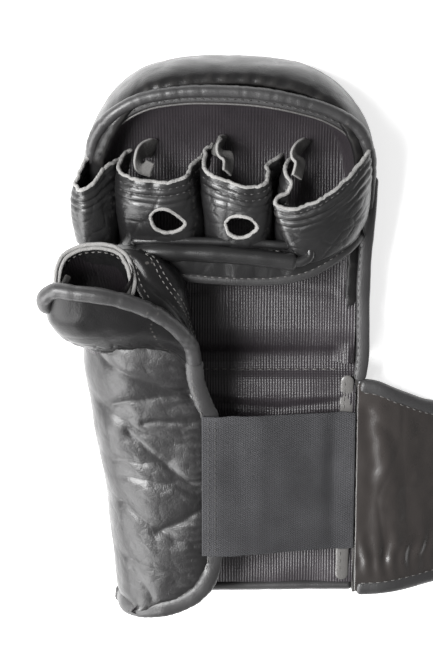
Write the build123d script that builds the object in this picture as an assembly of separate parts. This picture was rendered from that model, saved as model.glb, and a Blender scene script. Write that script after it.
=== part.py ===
"""Left-hand open-palm sparring glove, lying on its back with the palm up and the strap laid out.

+X runs from the thumb side to the little-finger side, +Y towards the fingertips and +Z out of
the palm.  The origin is under the middle of the palm, on the surface that the glove lies on.
All sizes are in millimetres.  Layers of one pad touch face to face.  Pieces of different
bodies keep clear of each other over the travel of their joints.
"""

import math
import os

from build123d import *

# ---------------------------------------------------------------- sheet goods and clearances
LEATHER = 1.4          # cow leather, finished
LINING = 1.0           # ribbed warp-knit lining
BINDING_WIDTH = 5.0    # visible width of a folded leather edge binding
BINDING_WRAP = 0.8     # how far a binding stands proud of the layers that it holds
THREAD_R = 0.35        # half the thickness of the sewing thread
SEAM_GAP = 0.3         # between neighbours that are only sewn through their edges
MOVING_GAP = 0.6       # between pieces of different bodies

# ---------------------------------------------------------------- back of the hand and cuff
FLEX_Y = -12.0         # the stitched channel where the padding folds
FLEX_Z = 14.0          # height of that fold's axis
CUFF_END_Y = -123.3    # wrist end of the glove
CUFF_RIGHT_X = 57.0    # little-finger side of the cuff
CUFF_TOP_Z = 14.8      # top of the cuff's lining
PATCH_Z = 1.6          # thickness of the loop patch under the cuff
FACING = (4.5, 1.2)    # width and thickness of the facing beside the strap
FACING_INSET = 4.0     # from the cuff's little-finger side
CUFF_EDGE_R = 4.5      # rounding of the cuff's lower long edges
HAND_BASE_X = (-65.0, 59.5)     # both sides of the padding at the flex channel
HAND_THUMB_SIDE = [(-68.5, 70.0), (-62.0, 101.5), (-42.0, 123.0)]   # widest, round, bumper
BUMPER_TIP = (-4.0, 129.3)
HAND_LITTLE_SIDE = [(34.0, 123.5), (54.5, 106.0), (62.5, 82.0)]     # bumper, round, widest
HAND_ROUND = [         # outer face, height against inset of the plan outline
    (0.0, 13.0), (5.0, 4.5), (16.0, 0.0), (30.0, 1.0), (44.0, 9.0),
]
RIM_WIDTH = 9.0        # leather that folds over onto the palm side
RIM_LOW_Z = 17.0       # height of the rim beside the palm
RIM_HIGH_Z = 43.0      # height of the rim over the knuckles
RIM_RISE_Y = (30.0, 118.0)
PALM_SLOPE = [         # lining surface, seen from the side as Y, Z
    (FLEX_Y, CUFF_TOP_Z), (30.0, 15.2), (88.0, 20.5), (104.0, 29.0), (113.0, 44.0),
]
PIPING_R = 3.6
PIPING_CORNERS = [     # route of the piping on the rim, in plan
    (-62.5, 91.5), (-57.5, 102.0), (-43.0, 112.5), (-2.0, 117.0), (38.0, 113.0), (57.5, 90.0),
    (59.0, 60.0),
]
PIPING_BEND_R = 22.0
SIDE_BINDING_X = (54.8, 60.0)   # leather folded over the little-finger side
SIDE_BINDING_END_Y = 44.0
EDGE_BINDING_Z = 3.2   # its height above the rim

# ---------------------------------------------------------------- finger loops and grip bar
LOOP_WALL = 1.6
LOOP_BASE_Y = 51.5     # palm end of the loops
LOOP_RIM_BASE_Y = 89.0
LOOP_RIM_TOP_Y = 80.0
LOOP_TOP_Z = 47.0
LOOP_FOOT_Z = 12.0     # hidden in the lining and the rim, where the loops are sewn in
LOOP_CORNER_R = 8.0
LOOPS = {              # name: base left, base right, top left, top right
    "index_loop": (-60.0, -43.0, -69.0, -52.5),
    "middle_loop": (-41.8, -12.0, -50.0, -15.0),
    "ring_loop": (-10.8, 23.0, -13.5, 20.0),
    "pinky_loop": (24.2, 53.0, 21.5, 56.5),
}
VENTS = {"middle_loop": (-31.0, 62.0, 7.4, 5.8), "ring_loop": (2.5, 58.9, 6.8, 5.4)}
TAB_WIDTH = 7.0        # sewn-down end of each loop on the lining
TAB_LENGTH = 26.0
TAB_GAP = 1.2          # between a tab and the wall of its loop
TAB_SET_BACK = 3.0     # from the rim of the loops to the end of a tab
PALM_BAND_Z = 40.0     # outer face of the leather band below the loops
PALM_BAND_FOOT = (-55.0, 55.5)
PALM_BAND_TOP = (-45.0, 44.0)
PALM_BAND_FOOT_Z = 16.0
PALM_BAND_LOW_Y = 33.5   # lowest point of its curved lower edge
PALM_BAND_SIDE_Y = 46.0  # height of that edge at the little-finger side
PALM_BAND_DROP_Y = 9.0   # how much lower it is at the thumb side
PALM_BAND_CORNER_R = 9.0
GRIP_BAR_R = 4.6
GRIP_BAR_ENDS = (-43.5, 31.0)
GRIP_BAR_Y = 46.0

# ---------------------------------------------------------------- thumb-side panel
PANEL_LEFT = {"wrist": -51.5, "thumb": -66.5}   # outer face at both ends
PANEL_RIGHT_X = -9.5
PANEL_TOP_Z = 40.0
PANEL_FOOT_Z = 3.0
PANEL_CORNER_R = 16.0
PANEL_FOAM = 4.6
PANEL_END_Y = FLEX_Y - MOVING_GAP    # thumb end
PANEL_HEM_R = 24.0     # plan rounding at the wrist end

# ---------------------------------------------------------------- wrist elastic
ELASTIC_WIDTH = 66.0
ELASTIC_TOP_Y = {"panel": -29.0, "root": -34.5}
ELASTIC_THICK = 1.8
ELASTIC_ROOT_X = CUFF_RIGHT_X - 1.5    # little-finger end, on the cuff's lining
ELASTIC_LAP = 5.0      # how far it overlaps the panel

# ---------------------------------------------------------------- thumb
THUMB_BASE = (-54.7, 3.6, 25.6)
THUMB_AXIS = (-0.10, 0.72, 0.69)
THUMB_LENGTH = 52.0
THUMB_INNER = (15.4, 13.2)      # half width and half depth of the sleeve
THUMB_PAD = [(11.0, 19.0, 16.0), (30.0, 24.0, 21.0), (THUMB_LENGTH, 21.0, 17.5)]
THUMB_LOOP = (9.0, 50.0)       # along the thumb, where the palm-side loop starts and ends
THUMB_PIPING_R = 3.3
THUMB_PIPING = [(-79.5, 25.5, 65.0), (-80.5, 32.5, 71.5), (-62.0, 35.8, 76.5),
                (-45.0, 31.7, 74.0), (-32.0, 20.6, 66.0), (-19.0, 7.5, 53.5)]
THUMB_PIPING_BENDS = [3.5, 9.0, 9.0, 9.0]
THUMB_GUSSET = [(-42.0, 42.0, 55.0), (-22.0, 30.5, 49.0), (-17.0, 8.0, 46.5), (-38.0, 12.0, 53.0)]

# ---------------------------------------------------------------- wrist strap
STRAP_ROOT_X = CUFF_RIGHT_X + 1.4
STRAP_LENGTH = 230.0
STRAP_FOLD_AT = 144.0  # from the root to the second fold
STRAP_CORE = 1.8
STRAP_ROOT_Z = 13.6    # underside at the root
STRAP_DROP = (70.0, 104.0)      # X where it leaves the root's height and reaches the surface
STRAP_BEND_R = 22.0
STRAP_WIDE = (FLEX_Y - 8.5, CUFF_END_Y + 1.8)    # upper and lower edge at the root
STRAP_NARROW = (STRAP_WIDE[0] - 16.5, STRAP_WIDE[1] + 5.5)  # the same of the straight part
STRAP_FLARE_BOW = 0.32          # how far the flare sags towards the strap's middle
STRAP_EDGE = 1.2                # from the binding's outside to the layers that it holds
STRAP_TAPER_X = 112.0
STRAP_END_R = 22.0
HOOK_TAPE = (62.0, 50.0)        # length, width
HOOK_THICK = 1.4
HOOK_END_MARGIN = 12.0
HOOK_SEAM = 1.0                 # from the tape's edge out to the overlock stitches round it
LOOP_PATCH = (76.0, 62.0)       # length along X, width along Y

FAR = 400.0            # reaches past the whole glove


# ================================================================ shared shapes
def box_between(x, y, z):
    """A box from three (low, high) pairs."""
    size = Box(x[1] - x[0], y[1] - y[0], z[1] - z[0], align=(Align.MIN,) * 3)
    return Pos(x[0], y[0], z[0]) * size


def side_prism(points, x):
    """A polygon of (Y, Z) points, pushed out over the X range."""
    wire = Polyline(*[(0, y, z) for y, z in points], close=True)
    return Pos(x[0], 0, 0) * extrude(make_face(wire), amount=x[1] - x[0], dir=(1, 0, 0))


def cross_prism(points, y):
    """A polygon of (X, Z) points, pushed out over the Y range."""
    wire = Polyline(*[(x, 0, z) for x, z in points], close=True)
    return Pos(0, y[0], 0) * extrude(make_face(wire), amount=y[1] - y[0], dir=(0, 1, 0))


def plan_prism(face, z):
    """A plan face, pushed up over the Z range."""
    return Pos(0, 0, z[0]) * extrude(face, amount=z[1] - z[0], dir=(0, 0, 1))


def thread_row(start, end, pitch, length=2.8, radius=THREAD_R):
    """A row of separate stitches, each a short bar, from one point to another."""
    a, b = Vector(*start), Vector(*end)
    along = (b - a).normalized()
    count = int((b - a).length / pitch)
    row = []
    for i in range(count):
        at = a + along * (pitch * (i + 0.5) - length / 2)
        row.append(Plane(origin=at, z_dir=along) * extrude(Circle(radius), amount=length))
    return Compound(children=row)


def largest(shape):
    """The biggest solid of a shape, without any sliver that a cut leaves beside it."""
    return max(shape.solids(), key=lambda solid: solid.volume)


def save(name, shape):
    """Writes one named piece, as its solids."""
    solids = shape.solids()
    piece = solids[0] if len(solids) == 1 else Compound(children=list(solids))
    export_step(piece, f"parts/{name}.step")


# ================================================================ back of the hand
def hand_outline(low_y):
    """Plan outline of the knuckle and hand padding, from low_y to the bumper."""
    left_x, right_x = HAND_BASE_X
    left = Line((left_x, low_y), HAND_THUMB_SIDE[0])
    left_corner = ThreePointArc(*HAND_THUMB_SIDE)
    bumper = ThreePointArc(HAND_THUMB_SIDE[-1], BUMPER_TIP, HAND_LITTLE_SIDE[0])
    right_corner = ThreePointArc(*HAND_LITTLE_SIDE)
    right = Line(HAND_LITTLE_SIDE[-1], (right_x, low_y))
    base = Line((right_x, low_y), (left_x, low_y))
    return make_face([left, left_corner, bumper, right_corner, right, base])


def hand_envelope(depth):
    """The hand padding's outer form, taken in by depth on every outer face."""
    outline = hand_outline(FLEX_Y - 30)
    levels = [max(depth, min(z, HAND_ROUND[-1][0] - depth)) for z, _ in HAND_ROUND]
    sections = [
        Pos(0, 0, z) * offset(outline, -(inset + depth), kind=Kind.INTERSECTION)
        for z, (_, inset) in zip(levels, HAND_ROUND)
    ]
    form = loft(sections, ruled=True)
    low, high = RIM_LOW_Z - depth, RIM_HIGH_Z - depth
    top = [
        (FLEX_Y + MOVING_GAP, -1), (FAR, -1), (FAR, high),
        (RIM_RISE_Y[1], high), (RIM_RISE_Y[0], low), (FLEX_Y + MOVING_GAP, low),
    ]
    return form & side_prism(top, (-FAR, FAR))


def palm_hollow(grow):
    """The space above the lining.  grow > 0 makes it deeper and wider."""
    inside = offset(hand_outline(FLEX_Y - 60), -(RIM_WIDTH - grow))
    slope = [(y + (grow if z > 25 else 0), z - grow) for y, z in PALM_SLOPE]
    slope = [(FLEX_Y - 60, slope[0][1]), *slope]
    slope += [(slope[-1][0], FAR), (slope[0][0], FAR)]
    return plan_prism(inside, (-5, FAR)) & side_prism(slope, (-FAR, FAR))


def build_hand():
    """Knuckle and hand padding: leather cover, foam and lining, with its piping."""
    outer, inner = hand_envelope(0), hand_envelope(LEATHER)
    hollow, lined = palm_hollow(0), palm_hollow(LINING)
    save("knuckle_foam", inner - lined)
    save("hand_lining", (inner & lined) - hollow)
    save("knuckle_leather", outer - inner - hollow)
    pad = outer - hollow

    # The piping lies on the sloping rim, round the bumper and down both sides.
    rise = (RIM_HIGH_Z - RIM_LOW_Z) / (RIM_RISE_Y[1] - RIM_RISE_Y[0])
    tilt = math.atan(rise)
    rim = Plane(
        origin=(0, RIM_RISE_Y[0], RIM_LOW_Z),
        x_dir=(1, 0, 0),
        z_dir=(0, -math.sin(tilt), math.cos(tilt)),
    ).offset(PIPING_R + SEAM_GAP)
    stretch = 1 / math.cos(tilt)
    local = [(x, (y - RIM_RISE_Y[0]) * stretch) for x, y in PIPING_CORNERS]
    with BuildLine(rim) as route:
        FilletPolyline(*local, radius=PIPING_BEND_R)
    path = route.line
    start = Plane(origin=path @ 0, z_dir=path % 0)
    piping = sweep(start * Circle(PIPING_R), path=path, transition=Transition.ROUND)
    piping = piping - pad

    # Folded leather along the little-finger side of the hand.
    strip = box_between(SIDE_BINDING_X, (FLEX_Y + 2.5, SIDE_BINDING_END_Y), (0, FAR))
    bend_y, past_y = RIM_RISE_Y[0], SIDE_BINDING_END_Y + 6.0
    past_z = RIM_LOW_Z + (past_y - bend_y) * rise
    cap = side_prism(
        [(FLEX_Y, RIM_LOW_Z), (bend_y, RIM_LOW_Z), (past_y, past_z),
         (past_y, past_z + EDGE_BINDING_Z), (bend_y, RIM_LOW_Z + EDGE_BINDING_Z),
         (FLEX_Y, RIM_LOW_Z + EDGE_BINDING_Z)],
        (-FAR, FAR),
    )
    save("side_binding", (strip & cap) - pad)
    return pad, piping


# ================================================================ finger loops and palm band
def arch(base, top, foot_z, top_z, radius, wall):
    """Two nested outlines of a flat-topped arch in the XZ plane, outer less inner."""
    def outline(shrink):
        points = [(base[0] + shrink, 0, foot_z), (top[0] + shrink, 0, top_z - shrink),
                  (top[1] - shrink, 0, top_z - shrink), (base[1] - shrink, 0, foot_z)]
        face = make_face(Polyline(*points, close=True))
        upper = [v for v in face.vertices() if v.Z > (foot_z + top_z) / 2]
        return fillet(upper, max(radius - shrink, 1.0))
    return outline(0) - outline(wall)


def build_loops(pad, piping):
    """Four leather finger loops, the sewn-down tabs between them and the rim's piping."""
    lean = (LOOP_RIM_BASE_Y - LOOP_RIM_TOP_Y) / (LOOP_TOP_Z - 20.0)
    rim_cut = side_prism(
        [(LOOP_RIM_BASE_Y + 20 * lean, 0), (FAR, 0), (FAR, LOOP_TOP_Z + 23),
         (LOOP_RIM_BASE_Y - (LOOP_TOP_Z + 3) * lean, LOOP_TOP_Z + 23)],
        (-FAR, FAR),
    )
    hollow, raised = palm_hollow(0), palm_hollow(-LEATHER)
    for name, (base_l, base_r, top_l, top_r) in LOOPS.items():
        face = arch((base_l, base_r), (top_l, top_r), LOOP_FOOT_Z, LOOP_TOP_Z, LOOP_CORNER_R, LOOP_WALL)
        loop = Pos(0, LOOP_BASE_Y, 0) * extrude(face, amount=60, dir=(0, 1, 0))
        loop = loop - pad - rim_cut
        if name in VENTS:
            x, y, half_x, half_y = VENTS[name]
            hole = Pos(x, y, LOOP_TOP_Z - 8) * extrude(Ellipse(half_x, half_y), amount=20)
            loop -= hole
        loop = largest(loop)
        save(name, loop)
        piping = piping - loop
    save("knuckle_piping", largest(piping))
    for number, name in enumerate(("middle_loop", "ring_loop", "pinky_loop"), start=1):
        left = LOOPS[name][0] + LOOP_WALL + TAB_GAP
        plan = box_between(
            (left, left + TAB_WIDTH),
            (LOOP_RIM_BASE_Y - TAB_LENGTH - TAB_SET_BACK, LOOP_RIM_BASE_Y - TAB_SET_BACK),
            (0, FAR),
        )
        save(f"loop_tab_{number}", (hollow - raised) & plan)


def band_region(drop):
    """Plan region above the palm band's curved lower edge, which is let down by drop."""
    low, side = PALM_BAND_LOW_Y - drop, PALM_BAND_SIDE_Y - drop
    half, thumb_side = HAND_LITTLE_SIDE[-1][0], side - PALM_BAND_DROP_Y
    edge = ThreePointArc((-half, thumb_side), (2.0, low), (half, side))
    top_y = LOOP_BASE_Y - SEAM_GAP
    rest = Polyline((half, side), (half, top_y), (-half, top_y), (-half, thumb_side))
    return plan_prism(make_face([edge, *rest.edges()]), (0, FAR))


def build_palm_band(pad):
    """Leather band across the palm below the loops, its binding and the padded grip bar."""
    face = arch(PALM_BAND_FOOT, PALM_BAND_TOP, PALM_BAND_FOOT_Z, PALM_BAND_Z, PALM_BAND_CORNER_R,
                LOOP_WALL)
    thick = arch(
        (PALM_BAND_FOOT[0] - BINDING_WRAP, PALM_BAND_FOOT[1] + BINDING_WRAP),
        (PALM_BAND_TOP[0] - BINDING_WRAP, PALM_BAND_TOP[1] + BINDING_WRAP),
        PALM_BAND_FOOT_Z, PALM_BAND_Z + BINDING_WRAP, PALM_BAND_CORNER_R,
        LOOP_WALL + 2 * BINDING_WRAP,
    )
    run = Pos(0, 10, 0) * extrude(face, amount=60, dir=(0, 1, 0))
    thick_run = Pos(0, 10, 0) * extrude(thick, amount=60, dir=(0, 1, 0))
    band = (run & band_region(0)) - pad
    save("palm_band", band)
    # The binding wraps the lower edge: a groove in it holds the band.
    edge = (thick_run & band_region(1.2)) - band_region(1.2 - BINDING_WIDTH)
    save("palm_binding", edge - band - pad)

    # The bar clears the binding and lies on the band.
    length = GRIP_BAR_ENDS[1] - GRIP_BAR_ENDS[0]
    at = Plane(origin=(GRIP_BAR_ENDS[0], GRIP_BAR_Y, PALM_BAND_Z + GRIP_BAR_R + 0.1), z_dir=(1, 0, 0))
    core = at.offset(LEATHER) * extrude(Circle(GRIP_BAR_R - LEATHER), amount=length - 2 * LEATHER)
    sleeve = at * extrude(Circle(GRIP_BAR_R), amount=length)
    sleeve = fillet(sleeve.edges(), GRIP_BAR_R * 0.6)
    save("grip_bar_foam", core)
    save("grip_bar_leather", sleeve - core)


# ================================================================ cuff
def panel_left(y):
    """X of the thumb-side panel's outer face at a place along the cuff."""
    share = (y - CUFF_END_Y) / (PANEL_END_Y - CUFF_END_Y)
    return PANEL_LEFT["wrist"] + share * (PANEL_LEFT["thumb"] - PANEL_LEFT["wrist"])


def cuff_outline(end_y, top_y, edge):
    """Plan outline of the cuff's back, inside the thumb-side panel, taken in by edge."""
    inner = LEATHER + PANEL_FOAM + LINING + SEAM_GAP
    return make_face(Polyline(
        (panel_left(end_y) + inner + edge, end_y), (CUFF_RIGHT_X - edge, end_y),
        (CUFF_RIGHT_X - edge, top_y), (panel_left(top_y) + inner + edge, top_y), close=True,
    ))


def rounded_slab(end_y, top_y, z, edge, radius):
    """A slab on the cuff's plan with its two lower long edges rounded."""
    slab = plan_prism(cuff_outline(end_y, top_y, edge), z)
    long_edges = [
        e for e in slab.edges()
        if abs((e @ 0).Z - z[0]) < 0.01 and abs((e @ 1).Z - z[0]) < 0.01
        and abs((e % 0.5).Y) > 0.9
    ]
    return fillet(long_edges, radius)


def build_cuff():
    """Back of the wrist: leather, foam, lining, end binding, facing and loop patch."""
    end_y, top_y = CUFF_END_Y, FLEX_Y - MOVING_GAP
    foam_top = CUFF_TOP_Z - LINING
    outer = rounded_slab(end_y, top_y, (PATCH_Z, foam_top), 0.0, CUFF_EDGE_R)
    foam = rounded_slab(
        end_y, top_y, (PATCH_Z + LEATHER, foam_top), LEATHER, CUFF_EDGE_R - LEATHER
    )
    lining = plan_prism(cuff_outline(end_y, top_y, 0.0), (foam_top, CUFF_TOP_Z))
    layers = outer + lining
    save("cuff_foam", foam)
    save("cuff_leather", outer - foam)
    save("cuff_lining", lining)

    # A folded binding holds the three layers along the wrist end.
    left_x = panel_left(end_y) + LEATHER + PANEL_FOAM + LINING + SEAM_GAP
    bar = box_between(
        (left_x + 0.5, CUFF_RIGHT_X - 0.5),
        (end_y - 1.0, end_y + BINDING_WIDTH),
        (PATCH_Z - BINDING_WRAP, CUFF_TOP_Z + BINDING_WRAP),
    )
    bar = fillet(bar.edges().filter_by(Axis.X), 1.0)
    save("cuff_binding", bar - layers)

    # Leather facing over the lining's raw edge, next to the strap.
    facing = box_between(
        (CUFF_RIGHT_X - FACING_INSET - FACING[0], CUFF_RIGHT_X - FACING_INSET),
        (end_y + BINDING_WIDTH + 1.0, top_y - 4.0),
        (CUFF_TOP_Z, CUFF_TOP_Z + FACING[1]),
    )
    save("inner_facing", facing)

    # Loop half of the hook-and-loop fastener, sewn under the cuff.
    middle_x, middle_y = 2.0, (end_y + top_y) / 2
    patch = Pos(middle_x, middle_y, 0) * extrude(
        RectangleRounded(LOOP_PATCH[0], LOOP_PATCH[1], 4.0), amount=PATCH_Z
    )
    save("loop_patch", patch)
    seam = (panel_left(FLEX_Y) + 14.0, top_y - 1.2, CUFF_TOP_Z + THREAD_R)
    save("flex_seam_thread", thread_row(seam, (CUFF_RIGHT_X - 10.0, seam[1], seam[2]), 4.2))


# ================================================================ thumb-side panel
def panel_section(y, near, far):
    """Cross-section of the panel between two depths below its outer leather face."""
    left, top, corner = panel_left(y), PANEL_TOP_Z, PANEL_CORNER_R
    centre = (left + corner, top - corner)

    def bend(depth):
        r = corner - depth
        half = math.radians(45)
        return [(left + depth, y, centre[1]),
                (centre[0] - r * math.cos(half), y, centre[1] + r * math.sin(half)),
                (centre[0], y, top - depth)]
    a, b = bend(near), bend(far)
    right = PANEL_RIGHT_X + 6.0
    return make_face([
        Line((left + near, y, PANEL_FOOT_Z), a[0]),
        ThreePointArc(*a),
        Line(a[2], (right, y, top - near)),
        Line((right, y, top - near), (right, y, top - far)),
        Line((right, y, top - far), b[2]),
        ThreePointArc(b[2], b[1], b[0]),
        Line(b[0], (left + far, y, PANEL_FOOT_Z)),
        Line((left + far, y, PANEL_FOOT_Z), (left + near, y, PANEL_FOOT_Z)),
    ])


def panel_layer(near, far):
    """One layer of the panel over its whole length."""
    ends = (CUFF_END_Y - 5.0, PANEL_END_Y)
    return loft([panel_section(y, near, far) for y in ends], ruled=True)


def panel_plan(edge):
    """Plan region of the panel, taken in by edge along its free right and wrist edges."""
    right, low = PANEL_RIGHT_X - edge, CUFF_END_Y - 1.0 + edge
    hem = PANEL_HEM_R - edge
    corner = (right - hem, low + hem)
    middle = (corner[0] + hem * math.sin(math.radians(45)), corner[1] - hem * math.cos(math.radians(45)))
    face = make_face([
        Line((right, 0), (right, corner[1])),
        ThreePointArc((right, corner[1]), middle, (corner[0], low)),
        Line((corner[0], low), (-90, low)),
        Line((-90, low), (-90, 0)),
        Line((-90, 0), (right, 0)),
    ])
    return plan_prism(face, (-5, FAR))


def build_panel():
    """Padded leather panel that wraps the base of the thumb and the side of the wrist."""
    body = panel_plan(1.2)
    depths = [0.0, LEATHER, LEATHER + PANEL_FOAM, LEATHER + PANEL_FOAM + LINING]
    layers = []
    for name, near, far in zip(("panel_leather", "panel_foam", "panel_lining"), depths, depths[1:]):
        layer = panel_layer(near, far) & body
        save(name, layer)
        layers.append(layer)
    thick = panel_layer(-BINDING_WRAP, depths[-1] + SEAM_GAP / 2)
    binding = (thick & panel_plan(0)) - panel_plan(BINDING_WIDTH)
    for layer in layers:
        binding -= layer
    save("panel_binding", binding)


def build_elastic():
    """Woven elastic from the panel's edge down to the little-finger side of the cuff."""
    left = PANEL_RIGHT_X - ELASTIC_LAP
    high = PANEL_TOP_Z + BINDING_WRAP + 0.1
    knee_x, low = PANEL_RIGHT_X + 1.0, CUFF_TOP_Z + FACING[1] + 0.2
    top_left, top_right = ELASTIC_TOP_Y["panel"], ELASTIC_TOP_Y["root"]
    plan = make_face(Polyline(
        (left, top_left), (ELASTIC_ROOT_X, top_right), (ELASTIC_ROOT_X, top_right - ELASTIC_WIDTH),
        (left, top_left - ELASTIC_WIDTH), close=True,
    ))
    profile = [
        (left, high), (knee_x, high), (ELASTIC_ROOT_X - 7.0, low), (ELASTIC_ROOT_X, low),
        (ELASTIC_ROOT_X, low + ELASTIC_THICK), (ELASTIC_ROOT_X - 6.6, low + ELASTIC_THICK),
        (knee_x + 0.5, high + ELASTIC_THICK), (left, high + ELASTIC_THICK),
    ]
    save("wrist_elastic", cross_prism(profile, (-FAR, 0)) & plan_prism(plan, (0, FAR)))
    top = high + ELASTIC_THICK + THREAD_R
    rows = [
        thread_row((left + inset, top_left - ELASTIC_WIDTH + 2, top), (left + inset, top_left - 2, top),
                   3.2, 2.2)
        for inset in (1.6, 4.6)
    ]
    save("elastic_thread", Compound(children=[s for row in rows for s in row.solids()]))


# ================================================================ thumb
def thumb_plane():
    """Origin at the thumb's base, Z along the thumb, Y away from its padded back."""
    return Plane(origin=THUMB_BASE, x_dir=(1, 0, 0), z_dir=THUMB_AXIS)


def thumb_form(depth):
    """Outer form of the thumb pad, taken in by depth."""
    last = len(THUMB_PAD) - 1
    sections = [
        thumb_plane().offset(z - (depth if i == last else 0)) * Ellipse(rx - depth, ry - depth)
        for i, (z, rx, ry) in enumerate(THUMB_PAD)
    ]
    return loft(sections, ruled=True)


def build_thumb():
    """Thumb: padded back with leather, foam and lining, leather loop and piping."""
    at = thumb_plane()
    long = THUMB_LENGTH + 20

    def sleeve(grow):
        face = Ellipse(THUMB_INNER[0] + grow, THUMB_INNER[1] + grow)
        return at.offset(-10) * extrude(face, amount=long)

    def half(side):
        """side -1 is the padded back, 1 the side towards the palm."""
        block = Pos(0, side * (FAR / 2 + SEAM_GAP / 2), 0) * Box(FAR, FAR, FAR)
        return at * block

    back = half(-1)
    form, foam_form = thumb_form(0), thumb_form(LEATHER)
    lined, bore = sleeve(LINING), sleeve(0)
    save("thumb_lining", ((lined - bore) & back) & form)
    save("thumb_foam", (foam_form & back) - lined)
    save("thumb_leather", ((form - foam_form) & back) - lined)
    start_z, end_z = THUMB_LOOP
    strip = at.offset(start_z) * extrude(
        Ellipse(THUMB_INNER[0] + LOOP_WALL, THUMB_INNER[1] + LOOP_WALL), amount=end_z - start_z
    )
    save("thumb_loop", (strip - bore) & half(1))

    with BuildLine() as route:
        FilletPolyline(*THUMB_PIPING, radius=THUMB_PIPING_BENDS)
    path = route.line
    start = Plane(origin=path @ 0, z_dir=path % 0)
    piping = sweep(start * Circle(THUMB_PIPING_R), path=path, transition=Transition.ROUND)
    solid_thumb = (form & back) - bore
    piping = piping - solid_thumb - strip
    save("thumb_piping", piping)

    # Leather from the loop's palm side down to the piping, over the base of the thumb.
    a, b, c, d = (Vector(*p) for p in THUMB_GUSSET)
    normal = (c - b).cross(a - b).normalized()
    if normal.Z < 0:
        normal = -normal
    flat = Plane(origin=b, z_dir=normal)
    outline = Polyline(*[(q.X, q.Y) for q in (flat.to_local_coords(p) for p in (a, b, c, d))], close=True)
    gusset = flat * extrude(make_face(outline), amount=LOOP_WALL)
    gusset = gusset - (at.offset(-10) * extrude(
        Ellipse(THUMB_INNER[0] + LOOP_WALL, THUMB_INNER[1] + LOOP_WALL), amount=long
    )) - solid_thumb - piping
    save("thumb_gusset", largest(gusset))


# ================================================================ wrist strap
def strap_layer(low, high, x):
    """The strap's side profile between two heights above its underside, over an X range."""
    def skin(height):
        points = [(STRAP_ROOT_X - 5, STRAP_ROOT_Z + height), (STRAP_DROP[0], STRAP_ROOT_Z + height),
                  (STRAP_DROP[1], height), (FAR, height)]
        return FilletPolyline(*[(a, 0, b) for a, b in points],
                              radius=[STRAP_BEND_R - height, STRAP_BEND_R + height])
    below, above = skin(low), skin(high)
    face = make_face([
        *below.edges(), *above.edges(), Line(below @ 0, above @ 0), Line(below @ 1, above @ 1)
    ])
    band = Pos(0, -FAR / 2, 0) * extrude(face, amount=FAR, dir=(0, 1, 0))
    return band & box_between(x, (-FAR, FAR), (-10, 60))


def strap_plan(edge):
    """Plan region of the strap, taken in by edge on all but its root."""
    end = STRAP_ROOT_X + STRAP_LENGTH - edge
    up, down = STRAP_WIDE[0] - edge, STRAP_WIDE[1] + edge
    top, low = STRAP_NARROW[0] - edge, STRAP_NARROW[1] + edge
    r = STRAP_END_R - edge
    middle_x = (STRAP_ROOT_X + STRAP_TAPER_X) / 2
    share = 0.5 + STRAP_FLARE_BOW / 2
    upper = (middle_x, up + (top - up) * share)
    lower = (middle_x, down + (low - down) * share)
    diagonal = r * (1 - math.cos(math.radians(45)))
    root = STRAP_ROOT_X
    face = make_face([
        ThreePointArc((root, up), upper, (STRAP_TAPER_X, top)),
        Line((STRAP_TAPER_X, top), (end - r, top)),
        ThreePointArc((end - r, top), (end - diagonal, top - diagonal), (end, top - r)),
        Line((end, top - r), (end, low + r)),
        ThreePointArc((end, low + r), (end - diagonal, low + diagonal), (end - r, low)),
        Line((end - r, low), (STRAP_TAPER_X, low)),
        ThreePointArc((STRAP_TAPER_X, low), lower, (root, down)),
        Line((root, down), (root, up)),
    ])
    return plan_prism(face, (-10, FAR))


def build_strap():
    """Wrist strap in two stretches that meet at the second fold, and its hook tape."""
    fold_x = STRAP_ROOT_X + STRAP_FOLD_AT
    stretches = {
        "strap_base": (STRAP_ROOT_X, fold_x - MOVING_GAP / 2),
        "strap_tip": (fold_x + MOVING_GAP / 2, FAR - 1),
    }
    # The binding lies on the surface, so the layers start above its lower fold.
    levels = [BINDING_WRAP, BINDING_WRAP + LEATHER, BINDING_WRAP + LEATHER + STRAP_CORE,
              BINDING_WRAP + 2 * LEATHER + STRAP_CORE]
    body, outside = strap_plan(STRAP_EDGE), strap_plan(0)
    for stretch, x in stretches.items():
        layers = []
        for part, low, high in zip(("back", "core", "face"), levels, levels[1:]):
            layer = strap_layer(low, high, x) & body
            save(f"{stretch}_{part}", layer)
            layers.append(layer)
        binding = (strap_layer(0, levels[-1] + BINDING_WRAP, x) & outside) - strap_plan(BINDING_WIDTH)
        for layer in layers:
            binding -= layer
        save(f"{stretch}_binding", binding)

    end_x = STRAP_ROOT_X + STRAP_LENGTH - HOOK_END_MARGIN
    middle = ((end_x - HOOK_TAPE[0] / 2), (STRAP_NARROW[0] + STRAP_NARROW[1]) / 2)
    tape = Pos(middle[0], middle[1], levels[-1]) * extrude(
        RectangleRounded(HOOK_TAPE[0], HOOK_TAPE[1], 3.0), amount=HOOK_THICK
    )
    save("hook_tape", tape)
    z = levels[-1] + THREAD_R
    half_x, half_y = HOOK_TAPE[0] / 2 + HOOK_SEAM, HOOK_TAPE[1] / 2 + HOOK_SEAM
    rows = []
    for side in (-1, 1):
        y, x = middle[1] + side * half_y, middle[0] + side * half_x
        rows.append(thread_row((middle[0] - half_x + 2, y, z), (middle[0] + half_x - 2, y, z), 3.6, 2.4))
        rows.append(thread_row((x, middle[1] - half_y + 2, z), (x, middle[1] + half_y - 2, z), 3.6, 2.4))
    save("hook_tape_thread", Compound(children=[s for row in rows for s in row.solids()]))


os.makedirs("parts", exist_ok=True)
hand_pad, rim_piping = build_hand()
build_loops(hand_pad, rim_piping)
build_palm_band(hand_pad)
build_cuff()
build_panel()
build_elastic()
build_thumb()
build_strap()
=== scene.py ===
import math

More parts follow.
